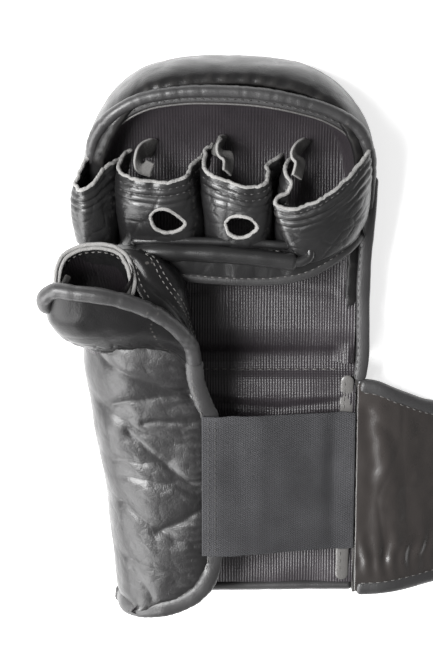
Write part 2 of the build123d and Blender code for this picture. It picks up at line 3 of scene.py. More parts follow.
import bmesh
import bpy
import numpy as np
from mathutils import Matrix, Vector


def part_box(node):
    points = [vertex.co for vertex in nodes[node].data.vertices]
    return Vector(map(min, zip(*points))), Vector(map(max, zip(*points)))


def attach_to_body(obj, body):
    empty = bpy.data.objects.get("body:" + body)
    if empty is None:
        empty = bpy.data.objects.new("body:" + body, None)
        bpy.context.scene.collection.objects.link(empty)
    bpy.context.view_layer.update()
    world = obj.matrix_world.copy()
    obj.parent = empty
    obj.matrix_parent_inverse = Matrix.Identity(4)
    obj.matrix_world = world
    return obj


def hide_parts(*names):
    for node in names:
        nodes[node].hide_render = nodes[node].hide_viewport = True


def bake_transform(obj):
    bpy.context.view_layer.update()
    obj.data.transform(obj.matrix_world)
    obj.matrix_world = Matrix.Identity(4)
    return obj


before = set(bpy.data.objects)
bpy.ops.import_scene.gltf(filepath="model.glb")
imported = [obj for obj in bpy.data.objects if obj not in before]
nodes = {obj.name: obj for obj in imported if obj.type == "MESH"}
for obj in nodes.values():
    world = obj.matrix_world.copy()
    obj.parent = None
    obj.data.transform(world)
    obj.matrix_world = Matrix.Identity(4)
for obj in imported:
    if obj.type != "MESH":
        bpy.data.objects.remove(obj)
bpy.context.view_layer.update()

# ================================================================ table, light and camera
# The glove lies on a plain white table, with a large soft lamp above its left side, a weaker
# one at its lower left, and pale walls all round.  The camera looks down at the palm.
MM = 0.001             # the glove is drawn in millimetres, and built in metres
TABLE_SIZE = 60.0
LAMP_PLACE = (-0.6, 0.2, 0.9)
LAMP_SIZE = 0.5
LAMP_POWER = 25.0
SIDE_LAMP_PLACE = (-0.8, -0.6, 0.55)
SIDE_LAMP_SIZE = 0.8
SIDE_LAMP_POWER = 18.0
SKY_STRENGTH = 0.3
TABLE_GLOW = 0.65      # the table is as bright as an overlit sheet of white paper
VIEW_TILT = math.radians(14)
VIEW_DISTANCE = 0.9
VIEW_LENS = 109.6
VIEW_SENSOR = 36.0
VIEW_AIM = Vector((-0.0084, 0.0069, 0.0183))


def new_material(name):
    """An empty node material with its surface shader, as (tree, shader)."""
    material = bpy.data.materials.new(name)
    material.use_nodes = True
    tree = material.node_tree
    return material, tree, tree.nodes["Principled BSDF"]


def add_node(tree, kind, links=None, **settings):
    """A shader node with its settings, and its sockets set to values or linked."""
    made = tree.nodes.new(kind)
    for key, value in settings.items():
        setattr(made, key, value)
    for socket, value in (links or {}).items():
        if isinstance(value, bpy.types.NodeSocket):
            tree.links.new(value, made.inputs[socket])
        else:
            made.inputs[socket].default_value = value
    return made


def put_object(name, data):
    """A new object in the scene."""
    made = bpy.data.objects.new(name, data)
    bpy.context.scene.collection.objects.link(made)
    return made


def put_lamp(name, place, size, power):
    """A square lamp that faces the glove."""
    lamp = bpy.data.lights.new(name, "AREA")
    lamp.size = size
    lamp.energy = power
    made = put_object(name, lamp)
    made.location = place
    made.rotation_euler = (VIEW_AIM - Vector(place)).to_track_quat("-Z", "Y").to_euler()


table_mesh = bpy.data.meshes.new("table")
half = TABLE_SIZE / 2
table_mesh.from_pydata(
    [(-half, -half, 0), (half, -half, 0), (half, half, 0), (-half, half, 0)], [], [(0, 1, 2, 3)]
)
table = put_object("table", table_mesh)
table.location.z = -0.0004
table_paint, tree, shader = new_material("table_paint")
shader.inputs["Base Color"].default_value = (0.9, 0.9, 0.9, 1)
shader.inputs["Roughness"].default_value = 0.6
shader.inputs["Emission Color"].default_value = (1, 1, 1, 1)
shader.inputs["Emission Strength"].default_value = TABLE_GLOW
table_mesh.materials.append(table_paint)

put_lamp("main_lamp", LAMP_PLACE, LAMP_SIZE, LAMP_POWER)
put_lamp("side_lamp", SIDE_LAMP_PLACE, SIDE_LAMP_SIZE, SIDE_LAMP_POWER)
world = bpy.data.worlds.new("white_room")
world.use_nodes = True
world.node_tree.nodes["Background"].inputs["Color"].default_value = (1, 1, 1, 1)
world.node_tree.nodes["Background"].inputs["Strength"].default_value = SKY_STRENGTH
bpy.context.scene.world = world
bpy.context.scene.view_settings.view_transform = "Standard"

lens = bpy.data.cameras.new("camera")
lens.sensor_fit = "VERTICAL"
lens.sensor_height = VIEW_SENSOR
lens.lens = VIEW_LENS
camera = put_object("camera", lens)
back = Vector((0, math.sin(VIEW_TILT), math.cos(VIEW_TILT)))
camera.location = VIEW_AIM + back * VIEW_DISTANCE
camera.rotation_euler = (-VIEW_TILT, 0, 0)
bpy.context.scene.camera = camera

# ================================================================ hand padding
# The back of the hand is one thick block of foam in satin black cowhide.  It is deepest in
# front of the knuckles, where it rolls up into a bumper, and it gets low beside the palm.
PAD_OUTLINE = [        # X, Y from the flex channel up the thumb side, round the bumper and back
    (-65.6, -12), (-67, 30), (-68.5, 70), (-67, 88), (-62, 101.5), (-53.5, 114), (-42, 123),
    (-24, 128), (-4, 129.3), (16, 127.9), (34, 123.5), (46, 116), (54.5, 106), (60, 95),
    (62.5, 82), (61.2, 40), (59.7, -12),
]
FLEX_Y = -12.0
FLEX_DIP = 2.5         # how much lower the padding is where it folds
RIM_LOW, RIM_HIGH = 17.0, 43.0     # height of the padding beside the palm and at the bumper
RIM_WIDTH = 9.0        # how far the top of the roll lies inside the outline
SOLE_WIDTH = 13.0      # how far the flat back lies inside the outline
WIDEST = 0.40          # where the roll is widest, as a share of its height
PAD_SPINE_X = -3.0
BLACK = (0.0065, 0.0063, 0.0065)


def ease(low, high, value):
    """0 below low, 1 above high, and smooth between them."""
    share = np.clip((np.asarray(value, float) - low) / (high - low), 0, 1)
    return share * share * (3 - 2 * share)


def spline(points, count):
    """Evenly spaced points along a smooth curve through a few given ones."""
    knots = np.array(points, float)
    at = np.concatenate([[0.0], np.cumsum(np.linalg.norm(np.diff(knots, axis=0), axis=1))])
    slopes = np.gradient(knots, at, axis=0)
    place = np.linspace(0, at[-1], 30 * len(knots))
    left = np.clip(np.searchsorted(at, place, side="right") - 1, 0, len(at) - 2)
    width = (at[left + 1] - at[left])[:, None]
    t = (place - at[left])[:, None] / width
    curve = (2 * t**3 - 3 * t**2 + 1) * knots[left] + (t**3 - 2 * t**2 + t) * width * slopes[left]
    curve += (3 * t**2 - 2 * t**3) * knots[left + 1] + (t**3 - t**2) * width * slopes[left + 1]
    run = np.concatenate([[0.0], np.cumsum(np.linalg.norm(np.diff(curve, axis=0), axis=1))])
    even = np.linspace(0, run[-1], count)
    return np.stack([np.interp(even, run, curve[:, k]) for k in range(curve.shape[1])], axis=1)


def unit(vectors):
    """The vectors at length one."""
    return vectors / np.maximum(np.linalg.norm(vectors, axis=-1, keepdims=True), 1e-9)


def lie(grid):
    """Unit normals of a grid of points."""
    return unit(np.cross(np.gradient(grid, axis=1), np.gradient(grid, axis=0)))


def noise(points, size, seed):
    """Smooth random values from -1 to 1, with features of the given size in millimetres."""
    cells = 24
    lattice = np.random.RandomState(seed).uniform(-1, 1, (cells,) * 3)
    place = np.asarray(points, float) / size + 1000
    cell = np.floor(place).astype(int)
    part = place - cell
    part = part * part * (3 - 2 * part)
    total = 0
    for corner in range(8):
        step = [(corner >> k) & 1 for k in range(3)]
        weight = 1
        for k in range(3):
            weight = weight * (part[..., k] if step[k] else 1 - part[..., k])
        total = total + weight * lattice[tuple((cell[..., k] + step[k]) % cells for k in range(3))]
    return total


def cracks(u, v, spacing, seed, stretch=1.0):
    """Network of folds between random cells: 1 on a fold, 0 inside a cell."""
    spots = np.random.RandomState(seed)
    area = (u.max() - u.min()) * (v.max() - v.min())
    count = max(6, int(area * stretch / spacing**2))
    seeds_u = spots.uniform(u.min(), u.max(), count)
    seeds_v = spots.uniform(v.min(), v.max(), count)
    far = np.hypot(u[..., None] - seeds_u, (v[..., None] - seeds_v) * stretch)
    near = np.partition(far, 1, axis=-1)[..., :2]
    return np.exp(-(((near[..., 1] - near[..., 0]) / (0.16 * spacing)) ** 2))


def fold(u, v, line, width, depth):
    """A fold pressed in along a line of (u, v) points, with a small lip on each side."""
    far = np.full(u.shape, 1e9)
    ends = np.array(line, float)
    for a, b in zip(ends, ends[1:]):
        along = b - a
        share = np.clip(((u - a[0]) * along[0] + (v - a[1]) * along[1]) / (along @ along), 0, 1)
        far = np.minimum(far, np.hypot(u - a[0] - share * along[0], v - a[1] - share * along[1]))
    return depth * (0.4 * np.exp(-((far / width - 1.9) ** 2)) - np.exp(-((far / width) ** 2)))


def mesh_of(name, points, faces, index=0):
    """A smooth mesh from points in millimetres, all in one material slot or a slot a face."""
    mesh = bpy.data.meshes.new(name)
    mesh.from_pydata((np.asarray(points, float).reshape(-1, 3) * MM).tolist(), [], faces)
    slots = np.broadcast_to(np.asarray(index, np.int32), (len(mesh.polygons),)).copy()
    mesh.polygons.foreach_set("material_index", slots)
    mesh.polygons.foreach_set("use_smooth", [True] * len(mesh.polygons))
    mesh.update()
    return mesh


def grid_faces(rows, columns, wrap=False):
    """Faces of a grid of points, closed round its columns if wrap is true."""
    index = np.arange(rows * columns).reshape(rows, columns)
    if wrap:
        index = np.concatenate([index, index[:, :1]], axis=1)
    corners = [index[:-1, :-1], index[:-1, 1:], index[1:, 1:], index[1:, :-1]]
    return np.stack(corners, -1).reshape(-1, 4).tolist()


def piece(name, mesh, *materials):
    """An object from a mesh, with its materials."""
    for material in materials:
        mesh.materials.append(material)
    return put_object(name, mesh)


def attach(obj, mesh):
    """Adds a mesh, such as a row of stitches, to a piece's own mesh."""
    whole = bmesh.new()
    whole.from_mesh(obj.data)
    whole.from_mesh(mesh)
    whole.to_mesh(obj.data)
    whole.free()


def settle(obj):
    """Applies the piece's modifiers, so that its mesh is final."""
    graph = bpy.context.evaluated_depsgraph_get()
    mesh = bpy.data.meshes.new_from_object(obj.evaluated_get(graph))
    obj.modifiers.clear()
    obj.data = mesh


def refine(obj, levels=1):
    """Rounds the piece's mesh with subdivision."""
    rounding = obj.modifiers.new("rounding", "SUBSURF")
    rounding.levels = levels
    rounding.render_levels = levels
    settle(obj)


def grain_group():
    """Shared look of finished cowhide: pebbled grain, pores, tone and shine that vary."""
    group = bpy.data.node_groups.new("cowhide_grain", "ShaderNodeTree")
    for name, default in (("Grain Scale", 1500.0), ("Crease Scale", 260.0), ("Crease Share", 0.5)):
        group.interface.new_socket(
            name, in_out="INPUT", socket_type="NodeSocketFloat"
        ).default_value = default
    for name in ("Height", "Tone", "Shine", "Wear"):
        group.interface.new_socket(name, in_out="OUTPUT", socket_type="NodeSocketFloat")
    given = group.nodes.new("NodeGroupInput")
    out = group.nodes.new("NodeGroupOutput")
    place = add_node(group, "ShaderNodeTexCoord").outputs["Object"]
    pebble = add_node(
        group, "ShaderNodeTexVoronoi",
        {"Vector": place, "Scale": given.outputs["Grain Scale"], "Randomness": 0.9}
    )
    warp = add_node(
        group, "ShaderNodeTexNoise",
        {"Vector": place, "Scale": given.outputs["Crease Scale"], "Detail": 4.0, "Distortion": 0.6}
    )
    ridge = add_node(
        group, "ShaderNodeTexVoronoi", {"Vector": place, "Scale": given.outputs["Crease Scale"]},
        feature="DISTANCE_TO_EDGE"
    )
    line = add_node(
        group, "ShaderNodeMapRange",
        {
            "Value": ridge.outputs["Distance"], "From Min": 0.0, "From Max": 0.14, "To Min": 0.0,
            "To Max": 1.0
        }
    )
    soft = add_node(
        group, "ShaderNodeMath", {0: warp.outputs["Fac"], 1: line.outputs["Result"]}, operation="MULTIPLY"
    )
    creased = add_node(
        group, "ShaderNodeMath", {0: soft.outputs[0], 1: given.outputs["Crease Share"]},
        operation="MULTIPLY"
    )
    dimple = add_node(
        group, "ShaderNodeMath", {0: pebble.outputs["Distance"], 1: -0.55}, operation="MULTIPLY"
    )
    height = add_node(
        group, "ShaderNodeMath", {0: dimple.outputs[0], 1: creased.outputs[0]}, operation="ADD"
    )
    tone = add_node(group, "ShaderNodeTexNoise", {"Vector": place, "Scale": 28.0, "Detail": 5.0})
    shine = add_node(group, "ShaderNodeTexNoise", {"Vector": place, "Scale": 75.0, "Detail": 3.0})
    point = add_node(group, "ShaderNodeNewGeometry").outputs["Pointiness"]
    rub = add_node(group, "ShaderNodeMapRange", {"Value": point, "From Min": 0.515, "From Max": 0.6})
    patchy = add_node(
        group, "ShaderNodeMath", {0: rub.outputs["Result"], 1: shine.outputs["Fac"]}, operation="MULTIPLY"
    )
    group.links.new(height.outputs[0], out.inputs["Height"])
    group.links.new(tone.outputs["Fac"], out.inputs["Tone"])
    group.links.new(shine.outputs["Fac"], out.inputs["Shine"])
    group.links.new(patchy.outputs[0], out.inputs["Wear"])
    return group


GRAIN = grain_group()


def leather(
    name, colour, rough, bump, scales=(1500.0, 260.0, 0.5), worn=(0.09, 0.085, 0.08), coat=0.0, sheen=0.5
):
    """A leather finish: colour, roughness, depth of grain, wear, clear coat and sheen."""
    material, tree, shader = new_material(name)
    grain = add_node(tree, "ShaderNodeGroup", node_tree=GRAIN)
    for socket, value in zip(("Grain Scale", "Crease Scale", "Crease Share"), scales):
        grain.inputs[socket].default_value = value
    light = [min(1.0, 2.3 * c) for c in colour]
    toned = add_node(tree, "ShaderNodeMix", {0: grain.outputs["Tone"]}, data_type="RGBA")
    toned.inputs[6].default_value = (*[0.6 * c for c in colour], 1)
    toned.inputs[7].default_value = (*light, 1)
    rubbed = add_node(
        tree, "ShaderNodeMix", {0: grain.outputs["Wear"], 6: toned.outputs[2]}, data_type="RGBA"
    )
    rubbed.inputs[7].default_value = (*worn, 1)
    tree.links.new(rubbed.outputs[2], shader.inputs["Base Color"])
    gloss = add_node(
        tree, "ShaderNodeMapRange",
        {
            "Value": grain.outputs["Shine"], "From Min": 0.3, "From Max": 0.7, "To Min": rough - 0.07,
            "To Max": rough + 0.09
        }
    )
    tree.links.new(gloss.outputs["Result"], shader.inputs["Roughness"])
    relief = add_node(
        tree, "ShaderNodeBump", {"Height": grain.outputs["Height"], "Strength": bump, "Distance": 0.00022}
    )
    tree.links.new(relief.outputs["Normal"], shader.inputs["Normal"])
    shader.inputs["Specular IOR Level"].default_value = sheen
    shader.inputs["Coat Weight"].default_value = coat
    shader.inputs["Coat Roughness"].default_value = 0.22
    return material


satin_cowhide = leather("satin_cowhide", BLACK, 0.33, 0.4, (1500.0, 240.0, 0.35), coat=0.02, sheen=0.22)


def rim_height(y):
    """Height of the padding's top along the hand."""
    return RIM_LOW + (RIM_HIGH - RIM_LOW) * ease(22.0, 122.0, y)


outline = spline(PAD_OUTLINE, 260)
inward = np.stack([np.gradient(outline[:, 1]), -np.gradient(outline[:, 0])], axis=1)
inward = unit(inward)
crown = rim_height(outline[:, 1]) - FLEX_DIP * np.exp(-(((outline[:, 1] - FLEX_Y) / 7) ** 2))
turn = np.radians(np.linspace(112, -90, 34))[:, None]
above = turn > 0
inset = np.where(above, RIM_WIDTH, SOLE_WIDTH) * (1 - np.abs(np.cos(turn)) ** 0.8)
inset = np.where(turn > math.pi / 2, RIM_WIDTH * (1 + 0.5 * np.abs(np.cos(turn))), inset)
lift = np.where(above, np.sin(turn), -np.abs(np.sin(turn)) ** 0.9)
middle = WIDEST * crown[None, :]
height = middle + lift * np.where(above, crown[None, :] - middle, middle - 0.2)
pad_roll = np.concatenate([
    outline[None] + inset[..., None] * inward[None],
    height[..., None],
], axis=2)
pinch = np.exp(-(((pad_roll[..., 1] - FLEX_Y) / 3.2) ** 2))
pad_roll[..., 0] -= 2.2 * pinch * np.sign(pad_roll[..., 0])
pad_roll[..., 2] += 2.0 * pinch * (pad_roll[..., 2] < 8)
spine = np.stack([np.full(len(outline), PAD_SPINE_X), np.clip(outline[:, 1], FLEX_Y, 92)], axis=1)
sole_rows = []
for share in np.linspace(0, 1, 14)[1:]:
    flat = pad_roll[-1, :, :2] * (1 - share) + spine * share
    sole_rows.append(np.concatenate([flat, pad_roll[-1, :, 2:]], axis=1))
pad_grid = np.concatenate([pad_roll, np.array(sole_rows)])
pad_u = np.arange(260)[None, :] * 1.7 + np.zeros((len(pad_grid), 1))
pad_v = np.arange(len(pad_grid))[:, None] * 1.6 + np.zeros((1, 260))
swell = 0.55 * noise(pad_grid, 26, 3) + 0.22 * noise(pad_grid, 9, 4)
near_rim = np.exp(-(((pad_v - 8) / 7) ** 2))
swell += 0.28 * near_rim * noise(np.stack([pad_u * 3, pad_v, pad_v * 0], -1), 7, 5)
swell -= 0.3 * cracks(pad_u, pad_v, 16, 6, 1.8) * ease(-1, 1, noise(pad_grid, 40, 7))
swell[-13:] *= 0.25
pad_grid = pad_grid - lie(pad_grid) * swell[
    ..., None
] * np.sign(lie(pad_grid)[10, 130] @ np.array([0, -1.0, 0]))
pad_grid[..., 2] = np.maximum(pad_grid[..., 2], 0.15)
hand_pad = piece("hand_pad", mesh_of("hand_pad", pad_grid, grid_faces(*pad_grid.shape[:2])), satin_cowhide)
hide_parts("knuckle_leather", "knuckle_foam")
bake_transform(hand_pad)

# ================================================================ hand lining
# Warp-knit lining, ribbed along the hand, is glued over the foam under the fingers and the
# palm.  It climbs steeply to the bumper and dips into the flex channel at the wrist.
LINING_SLOPE = [       # Y, Z along the middle of the hand
    (-12, 11.2), (-8, 11.6), (-3, 15.2), (4, 17.4), (14, 16.6), (30, 15.4), (60, 17.0), (88, 20.5),
    (100, 26.0), (108, 34.0), (114, 41.5), (120, 45.0),
]
RIB_PITCH = 1.25
RIB_DEPTH = 0.3
LINING_INSET = 8.2     # how far its edge lies inside the padding's outline
LINING_TOP_Y = 114.4    # its highest place, just inside the piping
LINING_TOP_X = -8.0
LINING_TOP_CURVE = 0.0018
LINING_RISE = 8.0      # width over which it climbs to the rim


def weave_group():
    """Shared look of a knitted or woven cloth: yarns across each other, and fuzz."""
    group = bpy.data.node_groups.new("yarn_weave", "ShaderNodeTree")
    sockets = (("Along Scale", 400.0), ("Across Scale", 900.0), ("Slant", 0.0))
    for name, default in sockets:
        group.interface.new_socket(
            name, in_out="INPUT", socket_type="NodeSocketFloat"
        ).default_value = default
    for name in ("Height", "Tone"):
        group.interface.new_socket(name, in_out="OUTPUT", socket_type="NodeSocketFloat")
    given = group.nodes.new("NodeGroupInput")
    out = group.nodes.new("NodeGroupOutput")
    place = add_node(group, "ShaderNodeTexCoord").outputs["Object"]
    axes = add_node(group, "ShaderNodeSeparateXYZ", {0: place})
    slanted = add_node(
        group, "ShaderNodeMath", {0: axes.outputs["X"], 1: given.outputs["Slant"], 2: axes.outputs["Y"]},
        operation="MULTIPLY_ADD"
    )
    waves = []
    for axis, scale in ((slanted.outputs[0], "Along Scale"), (axes.outputs["X"], "Across Scale")):
        turn_rate = add_node(
            group, "ShaderNodeMath", {0: given.outputs[scale], 1: 2 * math.pi}, operation="MULTIPLY"
        )
        angle = add_node(group, "ShaderNodeMath", {0: axis, 1: turn_rate.outputs[0]}, operation="MULTIPLY")
        waves.append(add_node(group, "ShaderNodeMath", {0: angle.outputs[0]}, operation="SINE").outputs[0])
    crossed = add_node(group, "ShaderNodeMath", {0: waves[0], 1: waves[1]}, operation="MULTIPLY")
    summed = add_node(
        group, "ShaderNodeMath", {0: waves[0], 1: 0.6, 2: crossed.outputs[0]}, operation="MULTIPLY_ADD"
    )
    fuzz = add_node(group, "ShaderNodeTexNoise", {"Vector": place, "Scale": 1300.0, "Detail": 2.0})
    height = add_node(
        group, "ShaderNodeMath", {0: summed.outputs[0], 1: fuzz.outputs["Fac"]}, operation="ADD"
    )
    broad = add_node(group, "ShaderNodeTexNoise", {"Vector": place, "Scale": 45.0, "Detail": 4.0})
    fine = add_node(
        group, "ShaderNodeMath", {0: summed.outputs[0], 1: 0.18, 2: broad.outputs["Fac"]},
        operation="MULTIPLY_ADD"
    )
    group.links.new(height.outputs[0], out.inputs["Height"])
    group.links.new(fine.outputs[0], out.inputs["Tone"])
    return group


WEAVE = weave_group()


def cloth(name, dark, light, rough, bump, scales, sheen=0.0, glow=0.5):
    """A woven finish from dark to light yarn, with the weave's scales and its relief."""
    material, tree, shader = new_material(name)
    yarn = add_node(tree, "ShaderNodeGroup", node_tree=WEAVE)
    for socket, value in zip(("Along Scale", "Across Scale", "Slant"), scales):
        yarn.inputs[socket].default_value = value
    toned = add_node(tree, "ShaderNodeMix", {0: yarn.outputs["Tone"]}, data_type="RGBA")
    toned.inputs[6].default_value = (*dark, 1)
    toned.inputs[7].default_value = (*light, 1)
    tree.links.new(toned.outputs[2], shader.inputs["Base Color"])
    relief = add_node(
        tree, "ShaderNodeBump", {"Height": yarn.outputs["Height"], "Strength": bump, "Distance": 0.0003}
    )
    tree.links.new(relief.outputs["Normal"], shader.inputs["Normal"])
    shader.inputs["Roughness"].default_value = rough
    shader.inputs["Sheen Weight"].default_value = sheen
    shader.inputs["Specular IOR Level"].default_value = glow
    return material


ribbed_knit = cloth(
    "ribbed_knit", (0.009, 0.0075, 0.009), (0.036, 0.031, 0.035), 0.38, 0.25, (1500.0, 0.0, 0.0), glow=0.5
)


def ribs(x, grid):
    """Height of the lining's ribs at a distance across them."""
    wander = 0.5 * noise(grid * np.array([1, 0.12, 0.2]), 6, 11)
    return RIB_DEPTH * np.abs(np.sin(math.pi * (x + wander) / RIB_PITCH))


edge_line = outline + (LINING_INSET) * inward
column_x = np.arange(edge_line[:, 0].min() + 0.1, edge_line[:, 0].max() - 0.1, RIB_PITCH / 4)
top_half = edge_line[np.argmax(edge_line[:, 1] > 60):len(edge_line) - np.argmax(edge_line[::-1, 1] > 60)]
order = np.argsort(top_half[:, 0])
column_top = np.interp(column_x, top_half[order, 0], top_half[order, 1])
column_top = np.minimum(column_top, LINING_TOP_Y - LINING_TOP_CURVE * (column_x - LINING_TOP_X) ** 2)
share = np.linspace(0, 1, 84)[:, None]
lining_y = FLEX_Y + share * (column_top[None] - FLEX_Y)
lining_x = np.broadcast_to(column_x, lining_y.shape).copy()
slope = spline(LINING_SLOPE, 200)
lining_z = np.interp(lining_y, slope[:, 0], slope[:, 1])
to_edge = np.min(
    np.hypot(lining_x[..., None] - edge_line[:, 0], lining_y[..., None] - edge_line[:, 1]), axis=-1
)
rise = ease(LINING_RISE, 0, to_edge) ** 1.5
lining_z += rise * np.maximum(rim_height(lining_y) - 1.2 - lining_z, 0)
lining = np.stack([lining_x, lining_y, lining_z], axis=-1)
lining[..., 2] += 0.7 * noise(lining * np.array([0.6, 1, 1]), 18, 12) * ease(0, 10, to_edge)
lining[..., 2] += fold(lining_x, lining_y, [(-20, 22), (10, 27), (45, 21)], 1.6, 0.5)
lining[..., 2] += ribs(lining_x, lining)
hand_lining = piece(
    "hand_lining_knit", mesh_of("hand_lining_knit", lining, grid_faces(*lining.shape[:2])), ribbed_knit
)
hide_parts("hand_lining")
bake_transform(hand_lining)

# ================================================================ rim piping
# A cord in a folded strip of leather is sewn round the bumper, where lining and cover meet.
# Its flange shows as a dark groove with stitches, and a thin pale welt closes the lining.
PIPING_ROUTE = [
    (-61.8, 80, 28), (-63.2, 89, 33), (
        -60.5, 98, 37.5
    ), (-53.5, 106, 41), (-43, 112.4, 43), (-27, 116, 44.2),
    (-8, 116.8, 44.8), (11, 115.6, 44.6), (28, 112.2, 44), (43, 107, 42.5), (53, 100, 39.5), (58, 90, 35.5),
    (59.2, 76, 31), (58.9, 62, 26.5),
]
PIPING_RADIUS = 2.75
WELT_RADIUS = 0.55
THREAD = 0.3


def ring_frames(path):
    """Two directions across a path at each of its points, the first as level as it can be."""
    along = unit(np.gradient(path, axis=0))
    side = unit(np.cross(along, np.array([0, 0, 1.0])))
    return side, np.cross(side, along)


def tube(path, wide, tall, sides=14, index=0, name="tube", ends=4):
    """A closed tube round a path, with a width and a height at each point, and round ends."""
    path = np.asarray(path, float)
    side, up = ring_frames(path)
    turn = np.linspace(0, 2 * math.pi, sides, endpoint=False)
    count = len(path)
    steps = np.minimum(np.arange(count), np.arange(count)[::-1])
    taper = np.sqrt(np.clip(1 - (1 - np.clip(steps / ends, 0, 1)) ** 2, 0.02, 1))
    wide = np.broadcast_to(wide, (count,)) * taper
    tall = np.broadcast_to(tall, (count,)) * taper
    grid = path[:, None] + (wide[:, None] * np.cos(turn))[..., None] * side[:, None]
    grid = grid + (tall[:, None] * np.sin(turn))[..., None] * up[:, None]
    faces = grid_faces(count, sides, wrap=True)
    faces.append(list(range(sides))[::-1])
    faces.append([(count - 1) * sides + k for k in range(sides)])
    return mesh_of(name, grid, faces, index)


def stitching(path, up, pitch=3.2, length=2.2, radius=THREAD, index=1, dip=0.25):
    """A row of thread stitches along a path, each sunk into the leather at both ends."""
    path = np.asarray(path, float)
    run = np.concatenate([[0.0], np.cumsum(np.linalg.norm(np.diff(path, axis=0), axis=1))])
    up = np.broadcast_to(np.asarray(up, float), path.shape)
    points, faces = [], []
    sides, stations = 6, np.array([-0.5, -0.36, 0.0, 0.36, 0.5])
    thick = np.array([0.45, 0.95, 1.0, 0.95, 0.45])
    drop = np.array([-2.2, -0.6, 0.0, -0.6, -2.2]) * dip
    turn = np.linspace(0, 2 * math.pi, sides, endpoint=False)
    for start in np.arange(pitch / 2, run[-1] - pitch / 3, pitch):
        at = np.clip(start + stations * length, 0, run[-1])
        centre = np.stack([np.interp(at, run, path[:, k]) for k in range(3)], axis=1)
        lift = unit(np.stack([np.interp(at, run, up[:, k]) for k in range(3)], axis=1))
        along = unit(np.gradient(centre, axis=0))
        side = unit(np.cross(along, lift))
        centre = centre + lift * drop[:, None]
        ring = centre[:, None] + radius * thick[:, None, None] * (
            np.cos(turn)[None, :, None] * side[:, None] + np.sin(turn)[None, :, None] * lift[:, None])
        first = len(points) * len(stations) * sides
        points.append(ring.reshape(-1, 3))
        shell = grid_faces(len(stations), sides, wrap=True)
        shell += [list(range(sides))[::-1], [(len(stations) - 1) * sides + k for k in range(sides)]]
        faces += [[first + k for k in face] for face in shell]
    return mesh_of("stitches", np.concatenate(points), faces, index)


def thread_finish(name, colour):
    """A twisted thread: fine slanted plies over its colour."""
    material, tree, shader = new_material(name)
    place = add_node(tree, "ShaderNodeTexCoord").outputs["Object"]
    ply = add_node(
        tree, "ShaderNodeTexWave", {"Vector": place, "Scale": 900.0, "Distortion": 1.0},
        bands_direction="DIAGONAL"
    )
    toned = add_node(tree, "ShaderNodeMix", {0: ply.outputs["Fac"]}, data_type="RGBA")
    toned.inputs[6].default_value = (*[0.5 * c for c in colour], 1)
    toned.inputs[7].default_value = (*colour, 1)
    tree.links.new(toned.outputs[2], shader.inputs["Base Color"])
    relief = add_node(
        tree, "ShaderNodeBump", {"Height": ply.outputs["Fac"], "Strength": 0.4, "Distance": 0.0001}
    )
    tree.links.new(relief.outputs["Normal"], shader.inputs["Normal"])
    shader.inputs["Roughness"].default_value = 0.6
    return material


grey_thread = thread_finish("grey_thread", (0.14, 0.135, 0.13))
dark_thread = thread_finish("dark_thread", (0.05, 0.048, 0.048))
binding_leather = leather(
    "binding_leather", (0.018, 0.0176, 0.018), 0.44, 0.4, (1700.0, 420.0, 0.6), coat=0.08
)
raw_leather = leather(
    "raw_leather", (0.17, 0.167, 0.163), 0.9, 1.0, (2600.0, 900.0, 1.0), (0.26, 0.255, 0.25)
)
suede = leather("suede", (0.07, 0.068, 0.066), 0.9, 0.9, (2400.0, 900.0, 1.0), (0.16, 0.155, 0.15))
welt_leather = leather("welt_leather", (0.05, 0.048, 0.047), 0.55, 0.6, (2200.0, 700.0, 1.0))

route = spline(PIPING_ROUTE, 300)
pucker = noise(np.stack([np.arange(300) * 1.1, np.zeros(300), np.zeros(300)], -1), 3.4, 21)
thin_end = 0.72 + 0.28 * ease(0, 30, np.arange(300.0))
rim_piping = piece(
    "rim_piping",
    tube(route, (PIPING_RADIUS + 0.14 * pucker) * thin_end, (PIPING_RADIUS + 0.14 * pucker) * thin_end, 16),
    binding_leather, dark_thread, welt_leather,
)
plan_in = np.array([-2.0, 55.0]) - route[:, :2]
plan_in = unit(plan_in)
lean = np.concatenate([plan_in, np.full((300, 1), -0.55)], axis=1)
flange = route + lean * (PIPING_RADIUS + 0.9)
attach(rim_piping, tube(flange, 1.5, 0.7, 10, 0))
attach(rim_piping, stitching(flange + np.array([0, 0, 0.9]), (0, 0, 1), 3.4, 2.2, 0.32, 1))
attach(rim_piping, tube(route + lean * (PIPING_RADIUS + 3.1), WELT_RADIUS, WELT_RADIUS, 8, 2))
refine(rim_piping)
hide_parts("knuckle_piping")
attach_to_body(rim_piping, "hand")

# ================================================================ side binding
# A flat folded strip of leather finishes the little-finger side from the bumper to the wrist.
SIDE_ROUTE = [
    (60.0, 78, 31.5), (59.4, 60, 26.6), (58.4, 42, 22.4), (58.0, 24, 19.2), (58.2, 6, 17.8),
    (58.3, -9, 17.4), (57.6, -15, 17.4), (56.9, -20, 17.8)
]
side_path = spline(SIDE_ROUTE, 120)
side_wave = noise(side_path, 6, 24)
side_strip = piece(
    "side_strip", tube(side_path, 3.2 + 0.15 * side_wave, 1.5 + 0.1 * side_wave, 14), binding_leather,
    dark_thread
)
attach(side_strip, stitching(side_path + np.array([-2.3, 0, 1.1]), (0, 0, 1), 3.4, 2.2, 0.28, 1))
refine(side_strip)
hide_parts("side_binding")
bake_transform(side_strip)

